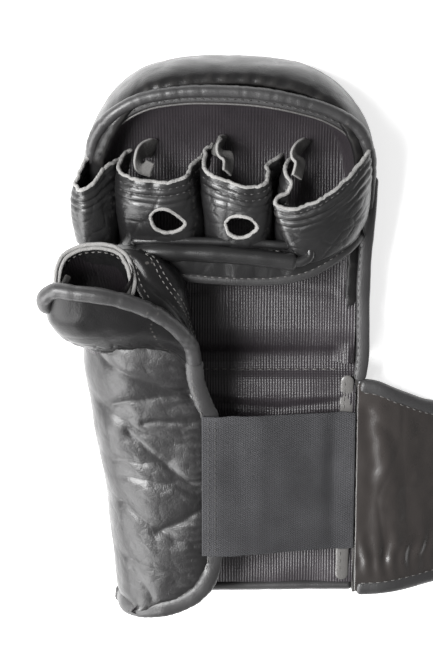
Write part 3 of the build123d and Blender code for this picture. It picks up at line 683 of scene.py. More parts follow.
# ================================================================ finger loops
# Each finger goes through a loop of thin soft leather.  The loops are sewn side by side to the
# padding, with their rims left raw, and the middle two have an uneven vent over the finger.
LOOP_THICK = 1.5
LOOP_COLUMNS, LOOP_ROWS = 150, 52
RAW_RIM = 0.95         # half the width of a rough cut edge
VENT_LOW_Z = 38.0      # the vents are above this height
thin_leather = leather("thin_leather", (0.0065, 0.0064, 0.0066), 0.36, 0.35, (1700.0, 330.0, 0.4), coat=0.1)
LOOPS = {              # rim and palm end of each loop, from its thumb side over the top, in X, Y, Z
    "index": {
        "rim": [(-58, 90, 27), (-65, 85.5, 33), (-68.6, 79.5, 39), (-69.8, 75.5, 44.5), (-66, 74.3, 47.5),
                (-62.5, 76.2, 46), (-59.6, 80, 42), (-55.5, 83.5, 37), (-51, 85, 31), (-48.5, 86, 27)],
        "base": [(-66.5, 46, 20), (-70, 49, 31), (-68.5, 49, 39), (-62, 47.5, 42), (-56, 47, 40),
            (-53.5, 46.5, 33), (-52.5, 46.5, 26)],
        "bulge": 2.2, "seed": 31, "stitch_rows": (),
    },
    "middle": {
        "rim": [(-46, 88.5, 26), (-49.5, 86.5, 31), (-51, 83, 37), (-49.3, 80.3, 42.5),
            (-45, 79.2, 45.6), (-37.5, 78, 47.3),
                (-30, 77.6, 47.8), (-24, 79, 46.6), (-20.3, 81, 43), (-18.8, 83.8, 38), (-15.5, 86, 32),
                (-13.5, 87, 27)],
        "base": [(-50.5, 46, 27), (-48.5, 47.5, 36), (-42, 48.8, 42), (-31, 48.6, 43.6),
            (-21, 48.4, 42.6), (-16.6, 47.2, 36), (-15.2, 46, 27)],
        "bulge": 2.0, "seed": 32, "stitch_rows": (3.4, 7.0),
        "vent": [(-37.6, 62.6), (-35.0, 65.6), (-30.5, 66.2), (-26.6, 64.2), (-22.0, 58.8),
            (-25.4, 56.0), (-30.5, 55.2), (-35.2, 57.4)],
    },
    "ring": {
        "rim": [(-9.5, 91, 25), (-12.6, 89.4, 31), (-13.4, 86, 37), (-13, 82.6, 42.3),
            (-9.8, 80.4, 45.4), (-2, 77.4, 47.4),
                (7.5, 75.2, 48), (12.2, 76.6, 46), (14.6, 80.4, 41.5), (13.8, 82.8, 37), (17.3, 85, 33),
                (21.5, 86.6, 27)],
        "base": [(-14.5, 46, 27), (-12, 47.2, 36), (-6.5, 48, 42.2), (2, 47.8, 43.6), (10, 47.2, 42.4),
            (14.2, 46, 36), (15.8, 45, 27)],
        "bulge": 2.0, "seed": 33, "stitch_rows": (3.4, 7.0),
        "vent": [(-5.0, 59.6), (-2.8, 62.2), (2.4, 63.0), (7.2, 61.4), (9.4, 57.8), (6.4, 54.4),
            (1.6, 52.8), (-3.0, 54.8)],
    },
    "pinky": {
        "rim": [(28.3, 87.5, 25), (25.4, 85.6, 31), (21.8, 83, 36.5), (22.3, 79.3, 40.2),
            (24.6, 76.2, 42.4), (23.2, 72.8, 44.4),
                (
                    18.2, 70.8, 45.6
                ), (16.8, 68.3, 47), (20.5, 66.5, 48), (26, 66.6, 48.6), (34, 69.3, 48.4), (42.5, 74.4, 46.8),
                (49.8, 80.6, 44.2), (55, 86.2, 41), (57.2, 90.5, 37), (55, 93, 33)],
        "base": [(17, 45, 28), (18.6, 45.2, 36), (23.4, 41.8, 41.2), (34, 41.6, 42.2), (44, 46, 40.4),
            (51.5, 51, 36.5), (57.5, 57, 29)],
        "bulge": 2.6, "seed": 34, "stitch_rows": (2.4,),
    },
}


def cut_hole(obj, corners):
    """Cuts an opening into a leather sheet along a closed outline in plan."""
    hole = spline([*corners, corners[0]], 90)[:-1]
    centre = hole.mean(axis=0)
    angles = np.arctan2(hole[:, 1] - centre[1], hole[:, 0] - centre[0])
    order = np.argsort(angles)
    reach = np.hypot(hole[:, 0] - centre[0], hole[:, 1] - centre[1])[order]
    angles = angles[order]
    body = bmesh.new()
    body.from_mesh(obj.data)
    share = {}
    for v in body.verts:
        x, y = v.co.x / MM - centre[0], v.co.y / MM - centre[1]
        limit = np.interp(math.atan2(y, x), angles, reach, period=2 * math.pi)
        if v.co.z > 0.036:
            share[v] = (math.hypot(x, y) / limit, limit, x, y)
    gone = [f for f in body.faces if all(v in share and share[v][0] < 1 for v in f.verts)]
    bmesh.ops.delete(body, geom=gone, context="FACES")
    for v, (part, limit, x, y) in share.items():
        if v.is_valid and part < 1 and v.link_faces:
            v.co.x = (centre[0] + x / part) * MM
            v.co.y = (centre[1] + y / part) * MM
    bmesh.ops.delete(body, geom=[v for v in body.verts if not v.link_faces], context="VERTS")
    body.to_mesh(obj.data)
    body.free()


def thicken(obj, thick, rim_slot, offset=0.0):
    """Gives a sheet its thickness, with the cut edge in another material."""
    solid = obj.modifiers.new("thickness", "SOLIDIFY")
    solid.thickness = thick * MM
    solid.offset = offset
    solid.use_rim = True
    solid.material_offset_rim = rim_slot
    solid.use_quality_normals = True
    settle(obj)


def raw_rim(path, seed):
    """The rough pale edge of cut leather, swelling a little along its length."""
    swell = noise(np.stack([np.arange(len(path)) * 0.75] * 3, -1), 1.6, seed + 70)
    return tube(path, RAW_RIM + 0.16 * swell, RAW_RIM - 0.12 * swell, 10, 1, ends=2)


def vent_line(obj, corners):
    """Places on the loop's upper face along the outline of its vent."""
    hole = spline([*corners, corners[0]], 90)
    spots = np.empty(len(obj.data.vertices) * 3)
    obj.data.vertices.foreach_get("co", spots)
    spots = spots.reshape(-1, 3) / MM
    spots = spots[spots[:, 2] > VENT_LOW_Z]
    near = np.argmin(np.hypot(hole[:, None, 0] - spots[:, 0], hole[:, None, 1] - spots[:, 1]), axis=1)
    height = spots[near, 2]
    for _ in range(6):
        height = (np.roll(height[:-1], 1) + height[:-1] + np.roll(height[:-1], -1)) / 3
        height = np.append(height, height[0])
    return np.column_stack([hole, height])


def build_loop(name, spec):
    """One finger loop as a creased sheet from its raw rim to its sewn palm end."""
    rim = spline(spec["rim"], LOOP_COLUMNS)
    base = spline(spec["base"], LOOP_COLUMNS)
    down = np.linspace(0, 1, LOOP_ROWS)[:, None, None]
    grid = rim[None] * (1 - down) + base[None] * down
    outward = lie(grid)
    outward = outward * np.sign(outward[LOOP_ROWS // 2, LOOP_COLUMNS // 2, 2])
    u = np.broadcast_to(np.arange(LOOP_COLUMNS)[None] * 0.75, grid.shape[:2])
    v = np.broadcast_to(np.arange(LOOP_ROWS)[:, None] * 0.72, grid.shape[:2])
    seed = spec["seed"]
    push = spec["bulge"] * np.sin(math.pi * down[..., 0]) ** 0.8
    bands = np.sin(v * 1.55 + 1.4 * noise(grid, 11, seed)) * np.exp(-(((v - 7) / 6.5) ** 2))
    push = push + 0.35 * bands * ease(1.0, 3.5, v)
    push = push - 0.16 * cracks(u, v, 13, seed + 10, 2.2) * ease(1.5, 6, v)
    push = push + 0.8 * noise(grid, 12, seed + 20) + 0.1 * noise(grid, 3.6, seed + 30)
    ruffle = np.stack([u, v * 0.2, v * 0], -1)
    push = push + 0.7 * noise(ruffle, 5.5, seed + 40) * np.exp(-v / 4)
    grid = grid + outward * push[..., None]
    fray = 0.35 * noise(np.stack([u, u * 0, u * 0], -1), 1.7, seed + 50) * (v < 0.5)
    grid[..., 1] += fray
    loop = piece(
        f"{name}_finger_loop", mesh_of(name, grid, grid_faces(LOOP_ROWS, LOOP_COLUMNS)), thin_leather,
        raw_leather, dark_thread
    )
    if "vent" in spec:
        cut_hole(loop, spec["vent"])
    thicken(loop, LOOP_THICK, 1)
    refine(loop)
    attach(loop, raw_rim(grid[0], seed))
    if "vent" in spec:
        attach(loop, raw_rim(vent_line(loop, spec["vent"]), seed + 5))
    facing_out = lie(grid) * np.sign(lie(grid)[LOOP_ROWS // 2, LOOP_COLUMNS // 2, 2])
    for distance in spec["stitch_rows"]:
        row = int(round(distance / 0.72))
        first, last = int(0.26 * LOOP_COLUMNS), int(0.9 * LOOP_COLUMNS)
        line = grid[row, first:last] + facing_out[row, first:last] * (LOOP_THICK / 2 + 0.1)
        attach(loop, stitching(line, facing_out[row, first:last], 3.0, 2.0, 0.26, 2))
    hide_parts(f"{name}_loop")
    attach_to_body(loop, "hand")


for loop_name, loop_spec in LOOPS.items():
    build_loop(loop_name, loop_spec)

# ================================================================ tongues between the loops
# The spare leather of each seam between two loops stands up behind the rims, cut raw.
TONGUES = {            # foot to tip, in X, Y, Z
    "loop_tab_1": [(-36, 88, 21), (-38.5, 89.5, 27), (-42, 87.5, 33), (-41, 83.5, 37.5),
        (-36.5, 81.5, 40.5)],
    "loop_tab_2": [(-6, 90, 22), (-8.5, 91, 28), (-6, 89.5, 33), (-3.5, 85, 37), (-4, 80.5, 40.5)],
    "loop_tab_3": [(30, 88, 22), (29, 90, 28), (26.5, 88.5, 33), (27.5, 83.5, 37), (26.5, 78.5, 40)],
}
for number, (tab, line) in enumerate(TONGUES.items()):
    centre_line = spline(line, 40)
    spread = np.linspace(-1, 1, 15)[None, :, None]
    width = (4.6 - 1.4 * np.linspace(0, 1, 40) ** 2)[:, None, None]
    across = unit(np.cross(np.gradient(centre_line, axis=0), np.array([0.6, -0.3, 0.75])))
    grid = centre_line[:, None] + across[:, None] * spread * width
    grid = grid + 0.7 * noise(grid, 5, 60 + number)[..., None] * np.array([0.8, 0.4, 0.3])
    grid[..., 2] = np.maximum(grid[..., 2], 18)
    tongue = piece(f"loop_tongue_{number + 1}", mesh_of(tab, grid, grid_faces(40, 15)), suede, raw_leather)
    thicken(tongue, LOOP_THICK, 1)
    refine(tongue)
    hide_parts(tab)
    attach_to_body(tongue, "hand")

# ================================================================ palm band and its binding
# A leather band crosses the palm below the loops and holds their ends.  Its lower edge curves
# down to the middle of the palm and is closed with a folded binding.
BAND_LOW = [(-57, 37, 17), (-51, 37.5, 28), (-43.5, 37.5, 36.5), (-33, 36.2, 40), (-15, 34.2, 41.2),
    (3, 33.2, 41.4), (18, 33.3, 40.6),
            (32, 35.8, 38.6), (45, 42.2, 34), (54, 48.6, 27.5), (57.5, 52, 21)]
BAND_HIGH = [(-57, 52, 18), (-53, 52, 30), (-46, 52, 38.5), (-30, 52, 42.4), (0, 52, 43),
    (24, 50, 42.2), (40, 52, 39.6), (50, 56, 35),
             (56, 60, 28), (58.5, 63, 22)]
BAND_COLUMNS, BAND_ROWS = 190, 26
low_edge, high_edge = spline(BAND_LOW, BAND_COLUMNS), spline(BAND_HIGH, BAND_COLUMNS)
down = np.linspace(0, 1, BAND_ROWS)[:, None, None]
band_grid = high_edge[None] * (1 - down) + low_edge[None] * down
band_u = np.broadcast_to(np.arange(BAND_COLUMNS)[None] * 0.8, band_grid.shape[:2])
band_v = np.broadcast_to(np.arange(BAND_ROWS)[:, None] * 0.7, band_grid.shape[:2])
band_grid[..., 2] += 0.5 * noise(
    band_grid * np.array([1.4, 0.6, 1]), 7, 71
) + 0.6 * np.sin(math.pi * down[..., 0])
band_grid[..., 2] -= 0.15 * cracks(band_u, band_v, 6.5, 72, 0.7)
palm_band = piece(
    "palm_band_leather", mesh_of("palm_band", band_grid, grid_faces(BAND_ROWS, BAND_COLUMNS)),
    thin_leather, raw_leather
)
thicken(palm_band, LOOP_THICK, 0)
refine(palm_band)
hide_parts("palm_band")
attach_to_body(palm_band, "hand")

edge_path = low_edge + np.array([0, -0.5, 0])
edge_wave = noise(edge_path, 5, 73)
palm_edge = piece(
    "palm_band_edge", tube(edge_path, 2.2 + 0.12 * edge_wave, 1.75 + 0.1 * edge_wave, 14), binding_leather,
    grey_thread
)
attach(
    palm_edge, stitching(edge_path[12:-8] + np.array([0, 1.35, 1.35]), (0, 0.5, 0.85), 3.2, 2.1, 0.27, 1)
)
refine(palm_edge)
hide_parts("palm_binding")
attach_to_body(palm_edge, "hand")

# ================================================================ grip bar
# A padded leather roll lies across the band for the fingers to close on.  The leather is rolled
# up at the little-finger end, and a second low ridge runs along behind the roll.
BAR_ROUTE = [
    (-44.5, 45.2, 42.8), (-38, 46.2, 44.6), (-24, 46.2, 45.2), (-6, 45.4, 45.6), (8, 44.2, 45.6),
    (19, 42.8, 45.6), (27, 41.6, 45.4)
]
BAR_RADIUS = 3.9
CURL_ROUTE = [
    (24, 42.2, 45.6), (29, 42.4, 45.8), (32.4, 45, 45.2), (31.6, 48.6, 44.4), (27.8, 49.4, 44.2),
    (26, 47, 44.4), (28, 45.6, 45)
]
RIDGE_ROUTE = [
    (-46, 50.6, 42), (-34, 51.2, 43.4), (-14, 51, 44), (6, 50.2, 44), (20, 49.2, 43.6), (27, 48.6, 43)
]
bar_path = spline(BAR_ROUTE, 130)
bar_wave = noise(bar_path * np.array([1, 0.3, 0.3]), 5.5, 81)
grip_bar = piece(
    "grip_bar_roll", tube(bar_path, BAR_RADIUS + 0.4 * bar_wave, BAR_RADIUS - 0.3 + 0.3 * bar_wave, 18),
    thin_leather, grey_thread
)
curl_path = spline(CURL_ROUTE, 60)
attach(grip_bar, tube(curl_path, np.linspace(2.6, 1.3, 60), np.linspace(2.6, 1.3, 60), 12))
ridge_path = spline(RIDGE_ROUTE, 110)
attach(grip_bar, tube(ridge_path, 2.0, 1.7 + 0.3 * noise(ridge_path, 6, 82), 12))
attach(grip_bar, stitching(ridge_path[8:-8] + np.array([0, -2.6, 0.9]), (0, 0, 1), 3.2, 2.1, 0.26, 1))
refine(grip_bar)
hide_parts("grip_bar_leather", "grip_bar_foam")
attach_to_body(grip_bar, "hand")

# ================================================================ thumb
# The thumb has its own padded back, covered in the same satin leather, that bulges out under a
# thick piping.  Its foot is sewn to the hand.
THUMB_FOOT = Vector((-54.7, 3.6, 25.6))
THUMB_ALONG = Vector((-0.10, 0.72, 0.69)).normalized()
THUMB_ACROSS = (Vector((1, 0, 0)) - THUMB_ALONG * THUMB_ALONG.x).normalized()
THUMB_OUT = THUMB_ALONG.cross(THUMB_ACROSS)      # towards the palm side of the thumb
SLEEVE = (15.2, 13.0)  # half width and half depth of the thumb's sleeve
THUMB_LINES = [        # from the piping down over the bulge to the crease above the side panel
    [
        (-73, 40, 60), (-79, 30, 66), (-78.5, 33.5, 71.5), (-68, 34, 74.5), (-57, 33, 75), (-45, 29.5, 73),
        (-33, 23, 68), (-24, 14, 60), (-19.5, 6, 53.5)
    ],
    [
        (-76, 34, 53), (-82.5, 25, 58.5), (-80, 21.5, 66), (-69, 20, 70.5), (-57, 19, 71.5),
        (-45, 17.5, 70), (-34, 14, 65), (-25.5, 7.5, 57.5), (-20, 2, 51)
    ],
    [
        (-75, 25, 42), (-80.5, 15, 46), (-76.5, 10.5, 54), (-68, 8, 58.5), (-57, 6.8, 60.5),
        (-45, 6.8, 59.5), (-34.5, 6.5, 57), (-26, 2.5, 52.5), (-20, -2, 49)
    ],
    [
        (-70, 17, 27), (-73, 8, 29), (-72, 4.5, 39), (-66, 3.4, 45), (-56, 2.8, 46.6), (-46, 2.8, 47),
        (-36, 2.8, 47.4), (-28, -0.5, 47), (-20.5, -7, 46.6)
    ],
    [
        (-62, 14, 18), (-68, 5, 20), (-68, 1.5, 34), (-63, -0.5, 40.5), (-55, -1, 42.5), (-46, -1, 43),
        (-37, -1, 43), (-29, -4, 42.5), (-21.5, -10, 42)
    ],
]
THUMB_COLUMNS, THUMB_ROWS = 170, 70
lines = np.array([spline(line, THUMB_COLUMNS) for line in THUMB_LINES])
thumb_grid = np.stack([spline(lines[:, k], THUMB_ROWS) for k in range(THUMB_COLUMNS)], axis=1)
facing = lie(thumb_grid)
facing = facing * -np.sign(facing[THUMB_ROWS // 3, THUMB_COLUMNS // 2, 1])
thumb_u = np.broadcast_to(np.arange(THUMB_COLUMNS)[None] * 0.75, thumb_grid.shape[:2])
thumb_v = np.broadcast_to(np.arange(THUMB_ROWS)[:, None] * 0.9, thumb_grid.shape[:2])
push = 0.5 * noise(thumb_grid, 14, 91) + 0.2 * noise(thumb_grid, 5, 92)
push = push - 0.35 * cracks(thumb_u, thumb_v, 11, 93, 1.4) * ease(22, 40, thumb_v)
push += 0.5 * np.sin(thumb_v * 1.5 + 2 * noise(thumb_grid, 9, 94)) * ease(30, 44, thumb_v) * 0.5
thumb_grid = thumb_grid + facing * push[..., None]
thumb_pad = piece(
    "thumb_pad", mesh_of("thumb_pad", thumb_grid, grid_faces(THUMB_ROWS, THUMB_COLUMNS)), satin_cowhide
)
thicken(thumb_pad, 3.0, 0, -1.0 if facing[20, 80] @ lie(thumb_grid)[20, 80] > 0 else 1.0)
refine(thumb_pad)
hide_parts("thumb_leather", "thumb_foam")
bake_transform(thumb_pad)

# ================================================================ thumb lining
# The sleeve for the thumb is lined with the same ribbed knit, down to the palm.
sleeve_turn = np.linspace(0, 2 * math.pi, 240, endpoint=False)
sleeve_run = np.linspace(50.5, 2, 46)
ribbed = 0.28 * np.abs(np.sin(sleeve_turn * 36))
sleeve_grid = (
    np.array(THUMB_FOOT) + sleeve_run[:, None, None] * np.array(THUMB_ALONG)
    + ((SLEEVE[0] - ribbed) * np.cos(sleeve_turn))[None, :, None] * np.array(THUMB_ACROSS)
    + ((SLEEVE[1] - ribbed) * np.sin(sleeve_turn))[None, :, None] * np.array(THUMB_OUT)
)
sleeve_grid = sleeve_grid + 0.5 * noise(sleeve_grid, 9, 95)[..., None] * np.array(THUMB_OUT)
thumb_knit = piece(
    "thumb_lining_knit", mesh_of("thumb_lining", sleeve_grid, grid_faces(46, 240, wrap=True)), ribbed_knit
)
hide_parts("thumb_lining")
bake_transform(thumb_knit)

# ================================================================ thumb loop
# Two layers of thin leather close the sleeve on the palm side.  Both are cut raw at the rim,
# and a row of thread holds them together just inside it.
ARCH = [(-75.5, 29, 64.5), (-78, 34.7, 60.5), (-77.5, 41.6, 58), (-74.8, 47.2, 56), (-69.3, 50.4, 54.6),
    (-62, 51.8, 54), (-56, 51.4, 54),
        (-51, 49.8, 54.6), (-46.7, 46.2, 56), (-44.3, 41.4, 58.2), (-43.6, 37.4, 60.8), (-44.5, 31, 64)]
ARCH_FOOT = [(-72, 14, 40), (-75, 16, 37), (-75, 21, 33), (-73, 26, 30), (-68, 29.5, 28),
    (-61, 30.6, 27.4), (-55, 30.6, 27.4),
             (-50, 29.6, 28), (-45.6, 27, 30), (-42.6, 23.5, 33), (-41, 19, 38), (-41, 14, 43)]
arch_rim = spline(ARCH, 130)
arch_foot = spline(ARCH_FOOT, 130)
down = np.linspace(0, 1, 44)[:, None, None]
arch_centre = np.array([-60.5, 33, 60.0])
layer_in = unit(arch_centre - arch_rim)
for layer, (shift, drop) in enumerate(((0.0, 0.0), (1.9, 0.7))):
    grid = (arch_rim + layer_in * shift - np.array([
        0, 0, drop
    ]))[None] * (1 - down) + (arch_foot + layer_in * shift)[None] * down
    v = np.arange(44)[:, None] * 0.8 + np.zeros((1, 130))
    grid = grid + 0.5 * noise(grid, 7, 101 + layer)[..., None] * np.array([0.5, 0.6, 0.6])
    grid = grid + (0.4 * noise(grid, 2.8, 103 + layer) * np.exp(-v / 3))[
        ..., None
    ] * np.array([0.6, 0.6, 0.2])
    sleeve = piece(
        f"thumb_loop_layer_{layer + 1}", mesh_of("thumb_sleeve", grid, grid_faces(44, 130)), thin_leather,
        raw_leather, grey_thread
    )
    thicken(sleeve, 1.2, 1)
    refine(sleeve)
    attach(sleeve, tube(grid[0], 0.9, 0.9, 10, 1, ends=2))
    if layer == 0:
        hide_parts("thumb_loop")
    else:
        seam = grid[3, 8:-8] + layer_in[8:-8] * 0.8
        attach(sleeve, stitching(seam, layer_in[8:-8], 2.8, 1.9, 0.26, 2))
    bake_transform(sleeve)

# ================================================================ thumb gusset
# A smooth leather gusset runs from the thumb loop down to the palm, between the piping and a
# double-stitched edge.
GUSSET_LINES = [
    [
        (-49, 49.4, 53.4), (-45, 42.5, 57), (-43, 34, 61), (-38, 27, 65), (-30, 18, 60.5),
        (-23.5, 10, 54.5), (-19.5, 2, 49)
    ],
    [
        (-46.5, 49.6, 53.8), (-39.5, 42.6, 56.6), (-36.5, 34.5, 59), (-31, 27.5, 60.5), (-26, 19, 57),
        (-22, 10, 52.5), (-18.5, 2, 48)
    ],
    [
        (-43.4, 48.4, 53.4), (-33.6, 43.6, 53.2), (-27, 38, 51.4), (-23.2, 32, 50), (-21.6, 24.6, 49),
        (-20.6, 14, 47.6), (-17.6, 2, 46)
    ],
    [
        (-42.6, 47.8, 49), (-32.8, 43.4, 47), (-26.2, 38, 45), (-22.6, 32, 43.6), (-21, 24.4, 42.6),
        (-20, 14, 41.4), (-17, 2, 40)
    ],
    [
        (-43, 44, 34), (-34, 40, 30), (-28, 35, 27), (-24.6, 30, 25), (-23, 23, 24), (-22, 14, 23),
        (-19.6, 2, 23)
    ],
]
gusset_lines = np.array([spline(line, 90) for line in GUSSET_LINES])
gusset_grid = np.stack([spline(gusset_lines[:, k], 56) for k in range(90)], axis=1)
gusset_u = np.broadcast_to(np.arange(90)[None] * 0.75, gusset_grid.shape[:2])
gusset_v = np.broadcast_to(np.arange(56)[:, None] * 0.8, gusset_grid.shape[:2])
gusset_up = lie(gusset_grid)
gusset_up = gusset_up * np.sign(gusset_up[12, 45, 2])
push = 0.5 * noise(gusset_grid, 12, 111) + fold(gusset_u, gusset_v, [(8, 2), (30, 9), (60, 10)], 1.6, 0.6)
gusset_grid = gusset_grid + gusset_up * push[..., None]
gusset = piece(
    "thumb_gusset_leather", mesh_of("thumb_gusset", gusset_grid, grid_faces(56, 90)), satin_cowhide,
    raw_leather, grey_thread
)
thicken(gusset, 1.4, 1)
refine(gusset)
edge_row = int(np.argmin(np.abs(gusset_grid[:, 45, 0] - (-24.0)) + 3 * (gusset_grid[:, 45, 2] < 48)))
for offset in (2, 5):
    seam = gusset_grid[max(edge_row - offset, 2), 5:-6] + gusset_up[max(edge_row - offset, 2), 5:-6] * 0.8
    attach(gusset, stitching(seam, gusset_up[max(edge_row - offset, 2), 5:-6], 2.9, 2.0, 0.26, 2))
rim_up = gusset_up[3, 4:40]
attach(gusset, stitching(gusset_grid[3, 4:40] + rim_up * 0.8, rim_up, 2.8, 1.9, 0.26, 2))
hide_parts("thumb_gusset")
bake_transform(gusset)

# ================================================================ thumb piping
# The thickest piping of the glove closes the thumb's padded back.  It starts in a rounded turn
# on the outer side, crosses over the thumb and runs down to the edge of the side panel.
THUMB_PIPING = [(-76, 35, 60), (-78.6, 27.5, 60.5), (-81.2, 26.6, 65), (-81.8, 31.5, 70),
    (-77.7, 35.4, 73.4), (-68, 35, 75.6), (-57, 33.8, 76),
                (-44.6, 30.2, 74), (-33, 23.8, 69), (-24, 14.5, 61.2), (-19.3, 5.5, 53.2),
                (-18.2, -3, 48.2)]
THUMB_PIPING_R = 3.5
thumb_route = spline(THUMB_PIPING, 260)
run_mm = np.arange(260) * 0.55
thumb_wave = noise(np.stack([run_mm, run_mm * 0, run_mm * 0], -1), 3.6, 121)
thick = THUMB_PIPING_R * (0.9 + 0.1 * ease(10, 24, run_mm)) + 0.16 * thumb_wave
thumb_cord = piece("thumb_piping_cord", tube(thumb_route, thick, thick, 18), binding_leather, grey_thread)
refine(thumb_cord)
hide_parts("thumb_piping")
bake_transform(thumb_cord)

# ================================================================ side panel
# A padded leather panel wraps the outer side of the wrist and the base of the thumb.  Its thin
# glossy leather is deeply creased from bending, and its inside is lined with the ribbed knit.
PANEL_OUTER_X = [
    (8, -70.2), (-2, -69.3), (-15, -67.9), (-37, -64.4), (-66, -59.8), (-95, -57), (-124.6, -53.4)
]
PANEL_INNER_X = [(8, -21.5), (-3, -19), (-14, -17), (-22, -14.2), (-30, -11), (-60, -10.2), (-98, -10.2)]
PANEL_HEIGHT = [
    (8, 43.6), (2, 45.6), (-6, 46.2), (-16, 44), (-30, 41.8), (-70, 41.6), (-100, 41.4), (-124.6, 38.4)
]
PANEL_TOP_Y, PANEL_HEM_Y = 7.0, -124.2
PANEL_HEM_ROUND = 25.0
PANEL_THICK = 6.8
PANEL_ROWS, PANEL_COLUMNS = 176, 130
PANEL_FOLDS = [        # start and end as shares down and across the panel, then width, depth and sag
    ((0.05, 0.10), (0.20, 0.90), 4.0, 1.8, 2.0),
    ((0.25, 0.15), (0.20, 0.95), 4.0, 1.5, -1.5),
    ((0.30, 0.45), (0.30, 1.00), 2.0, 1.2, 0.5),
    ((0.25, 0.10), (0.40, 0.90), 4.5, 1.7, 3.0),
    ((0.35, 0.30), (0.55, 0.95), 2.5, 1.2, 2.0),
    ((0.45, 0.15), (0.45, 0.60), 4.0, 1.3, -1.0),
    ((0.50, 0.20), (0.55, 0.85), 4.0, 1.3, -1.5),
    ((0.70, 0.45), (0.60, 0.95), 4.0, 1.6, 1.5),
    ((0.60, 0.15), (0.75, 0.95), 3.5, 1.6, 4.0),
    ((0.80, 0.15), (0.85, 0.75), 4.0, 1.2, 2.0),
    ((0.85, 0.20), (0.95, 0.50), 2.5, 0.9, 0.5),
]
CREASE_ROUND = 0.35    # radius at the bottom of a crease
EDGE_WRINKLES = 13     # short puckers where the panel is gathered into its binding
creased_leather = leather(
    "creased_leather", (0.0075, 0.0072, 0.0075), 0.39, 0.5, (1600.0, 300.0, 0.5), coat=0.12
)


def along_spline(points, at):
    """Value of a smooth curve of (place, value) points at each place."""
    curve = spline(points, 400)
    order = np.argsort(curve[:, 0])
    return np.interp(at, curve[order, 0], curve[order, 1])


def puffs(u, v, spacing, seed, stretch=1.0):
    """Soft bulges that meet in valleys: 0 in a valley and 1 on a bulge."""
    spots = np.random.RandomState(seed)
    area = (u.max() - u.min()) * (v.max() - v.min())
    count = max(6, int(area * stretch / spacing**2))
    seeds_u = spots.uniform(u.min(), u.max(), count)
    seeds_v = spots.uniform(v.min(), v.max(), count)
    far = np.hypot(u[..., None] - seeds_u, (v[..., None] - seeds_v) * stretch)
    near = np.partition(far, 1, axis=-1)[..., :2]
    return 1 - np.exp(-(near[..., 1] - near[..., 0]) / (0.3 * spacing))


def valley(u, v, line, width, depth):
    """A crease along a line, sharp at its bottom and swelling out to both sides."""
    far = np.full(u.shape, 1e9)
    ends = np.array(line, float)
    for a, b in zip(ends, ends[1:]):
        along = b - a
        share = np.clip(((u - a[0]) * along[0] + (v - a[1]) * along[1]) / (along @ along), 0, 1)
        far = np.minimum(far, np.hypot(u - a[0] - share * along[0], v - a[1] - share * along[1]))
    return depth * np.exp(-(np.hypot(far, CREASE_ROUND) - CREASE_ROUND) / width)


def pillow(name, face, facing, thick, edge, spacing, materials):
    """A closed padded slab behind a face, thin at its borders, with a second finish on its back."""
    rows, columns = face.shape[:2]
    row_gap = np.minimum(np.arange(rows), np.arange(rows)[::-1])[:, None] * spacing[0]
    column_gap = np.minimum(np.arange(columns), np.arange(columns)[::-1])[None, :] * spacing[1]
    part = np.clip(np.minimum(row_gap, column_gap) / edge, 0, 1)
    depth = 0.5 + (thick - 0.5) * np.sqrt(1 - (1 - part) ** 2)
    back = face - facing * depth[..., None]
    points = np.concatenate([face, back[:, ::-1]], axis=1)
    faces = grid_faces(rows, 2 * columns, wrap=True)
    slots = np.zeros((rows - 1, 2 * columns), int)
    slots[:, columns:-1] = 1
    slots = list(slots.ravel())
    for row in (0, rows - 1):
        first = row * 2 * columns
        for k in range(columns - 1):
            corner = [first + k, first + k + 1, first + 2 * columns - 2 - k, first + 2 * columns - 1 - k]
            faces.append(corner if row else corner[::-1])
            slots.append(0)
    made = piece(name, mesh_of(name, points, faces, slots), *materials)
    body = bmesh.new()
    body.from_mesh(made.data)
    bmesh.ops.recalc_face_normals(body, faces=body.faces)
    body.to_mesh(made.data)
    body.free()
    return made


panel_y = np.linspace(PANEL_TOP_Y, PANEL_HEM_Y, PANEL_ROWS)
outer_x = along_spline(PANEL_OUTER_X, panel_y)
inner_x = along_spline(PANEL_INNER_X, panel_y)
into_hem = np.clip(PANEL_HEM_Y + PANEL_HEM_ROUND - panel_y, 0, PANEL_HEM_ROUND)
inner_x -= 1.35 * (PANEL_HEM_ROUND - np.sqrt(PANEL_HEM_ROUND**2 - into_hem**2))
top_z = along_spline(PANEL_HEIGHT, panel_y)
sections = []
for x0, x1, z1 in zip(outer_x, inner_x, top_z):
    section = [(x0 + 1.6, 1.4), (x0 + 0.3, 8), (x0, 17), (x0 + 1.8, 27), (x0 + 6.6, 35),
        (x0 + 0.36 * (x1 - x0), z1 - 0.8),
               (x0 + 0.62 * (x1 - x0), z1 + 0.9), (x1 - 5, z1 + 0.3), (x1, z1 - 1.6)]
    sections.append(spline(section, PANEL_COLUMNS))
sections = np.array(sections)
panel_face = np.stack(
    [sections[..., 0], np.broadcast_to(panel_y[:, None], sections.shape[:2]), sections[..., 1]], axis=-1
)
panel_facing = lie(panel_face)
panel_facing = panel_facing * np.sign(panel_facing[PANEL_ROWS // 2, PANEL_COLUMNS - 20, 2])
flat_u = np.cumsum(
    np.concatenate(
        [np.zeros((PANEL_ROWS, 1)), np.linalg.norm(np.diff(panel_face, axis=1), axis=-1)], axis=1
    ),
    axis=1
)
flat_v = -panel_face[..., 1]
slant_u, slant_v = (flat_u + flat_v) * 0.707, (flat_v - flat_u) * 0.707
calm = ease(
    1.0, 6.0, np.minimum(flat_u[:, -1:] - flat_u, flat_u)
) * ease(PANEL_HEM_Y + 1, PANEL_HEM_Y + 8, panel_face[..., 1])


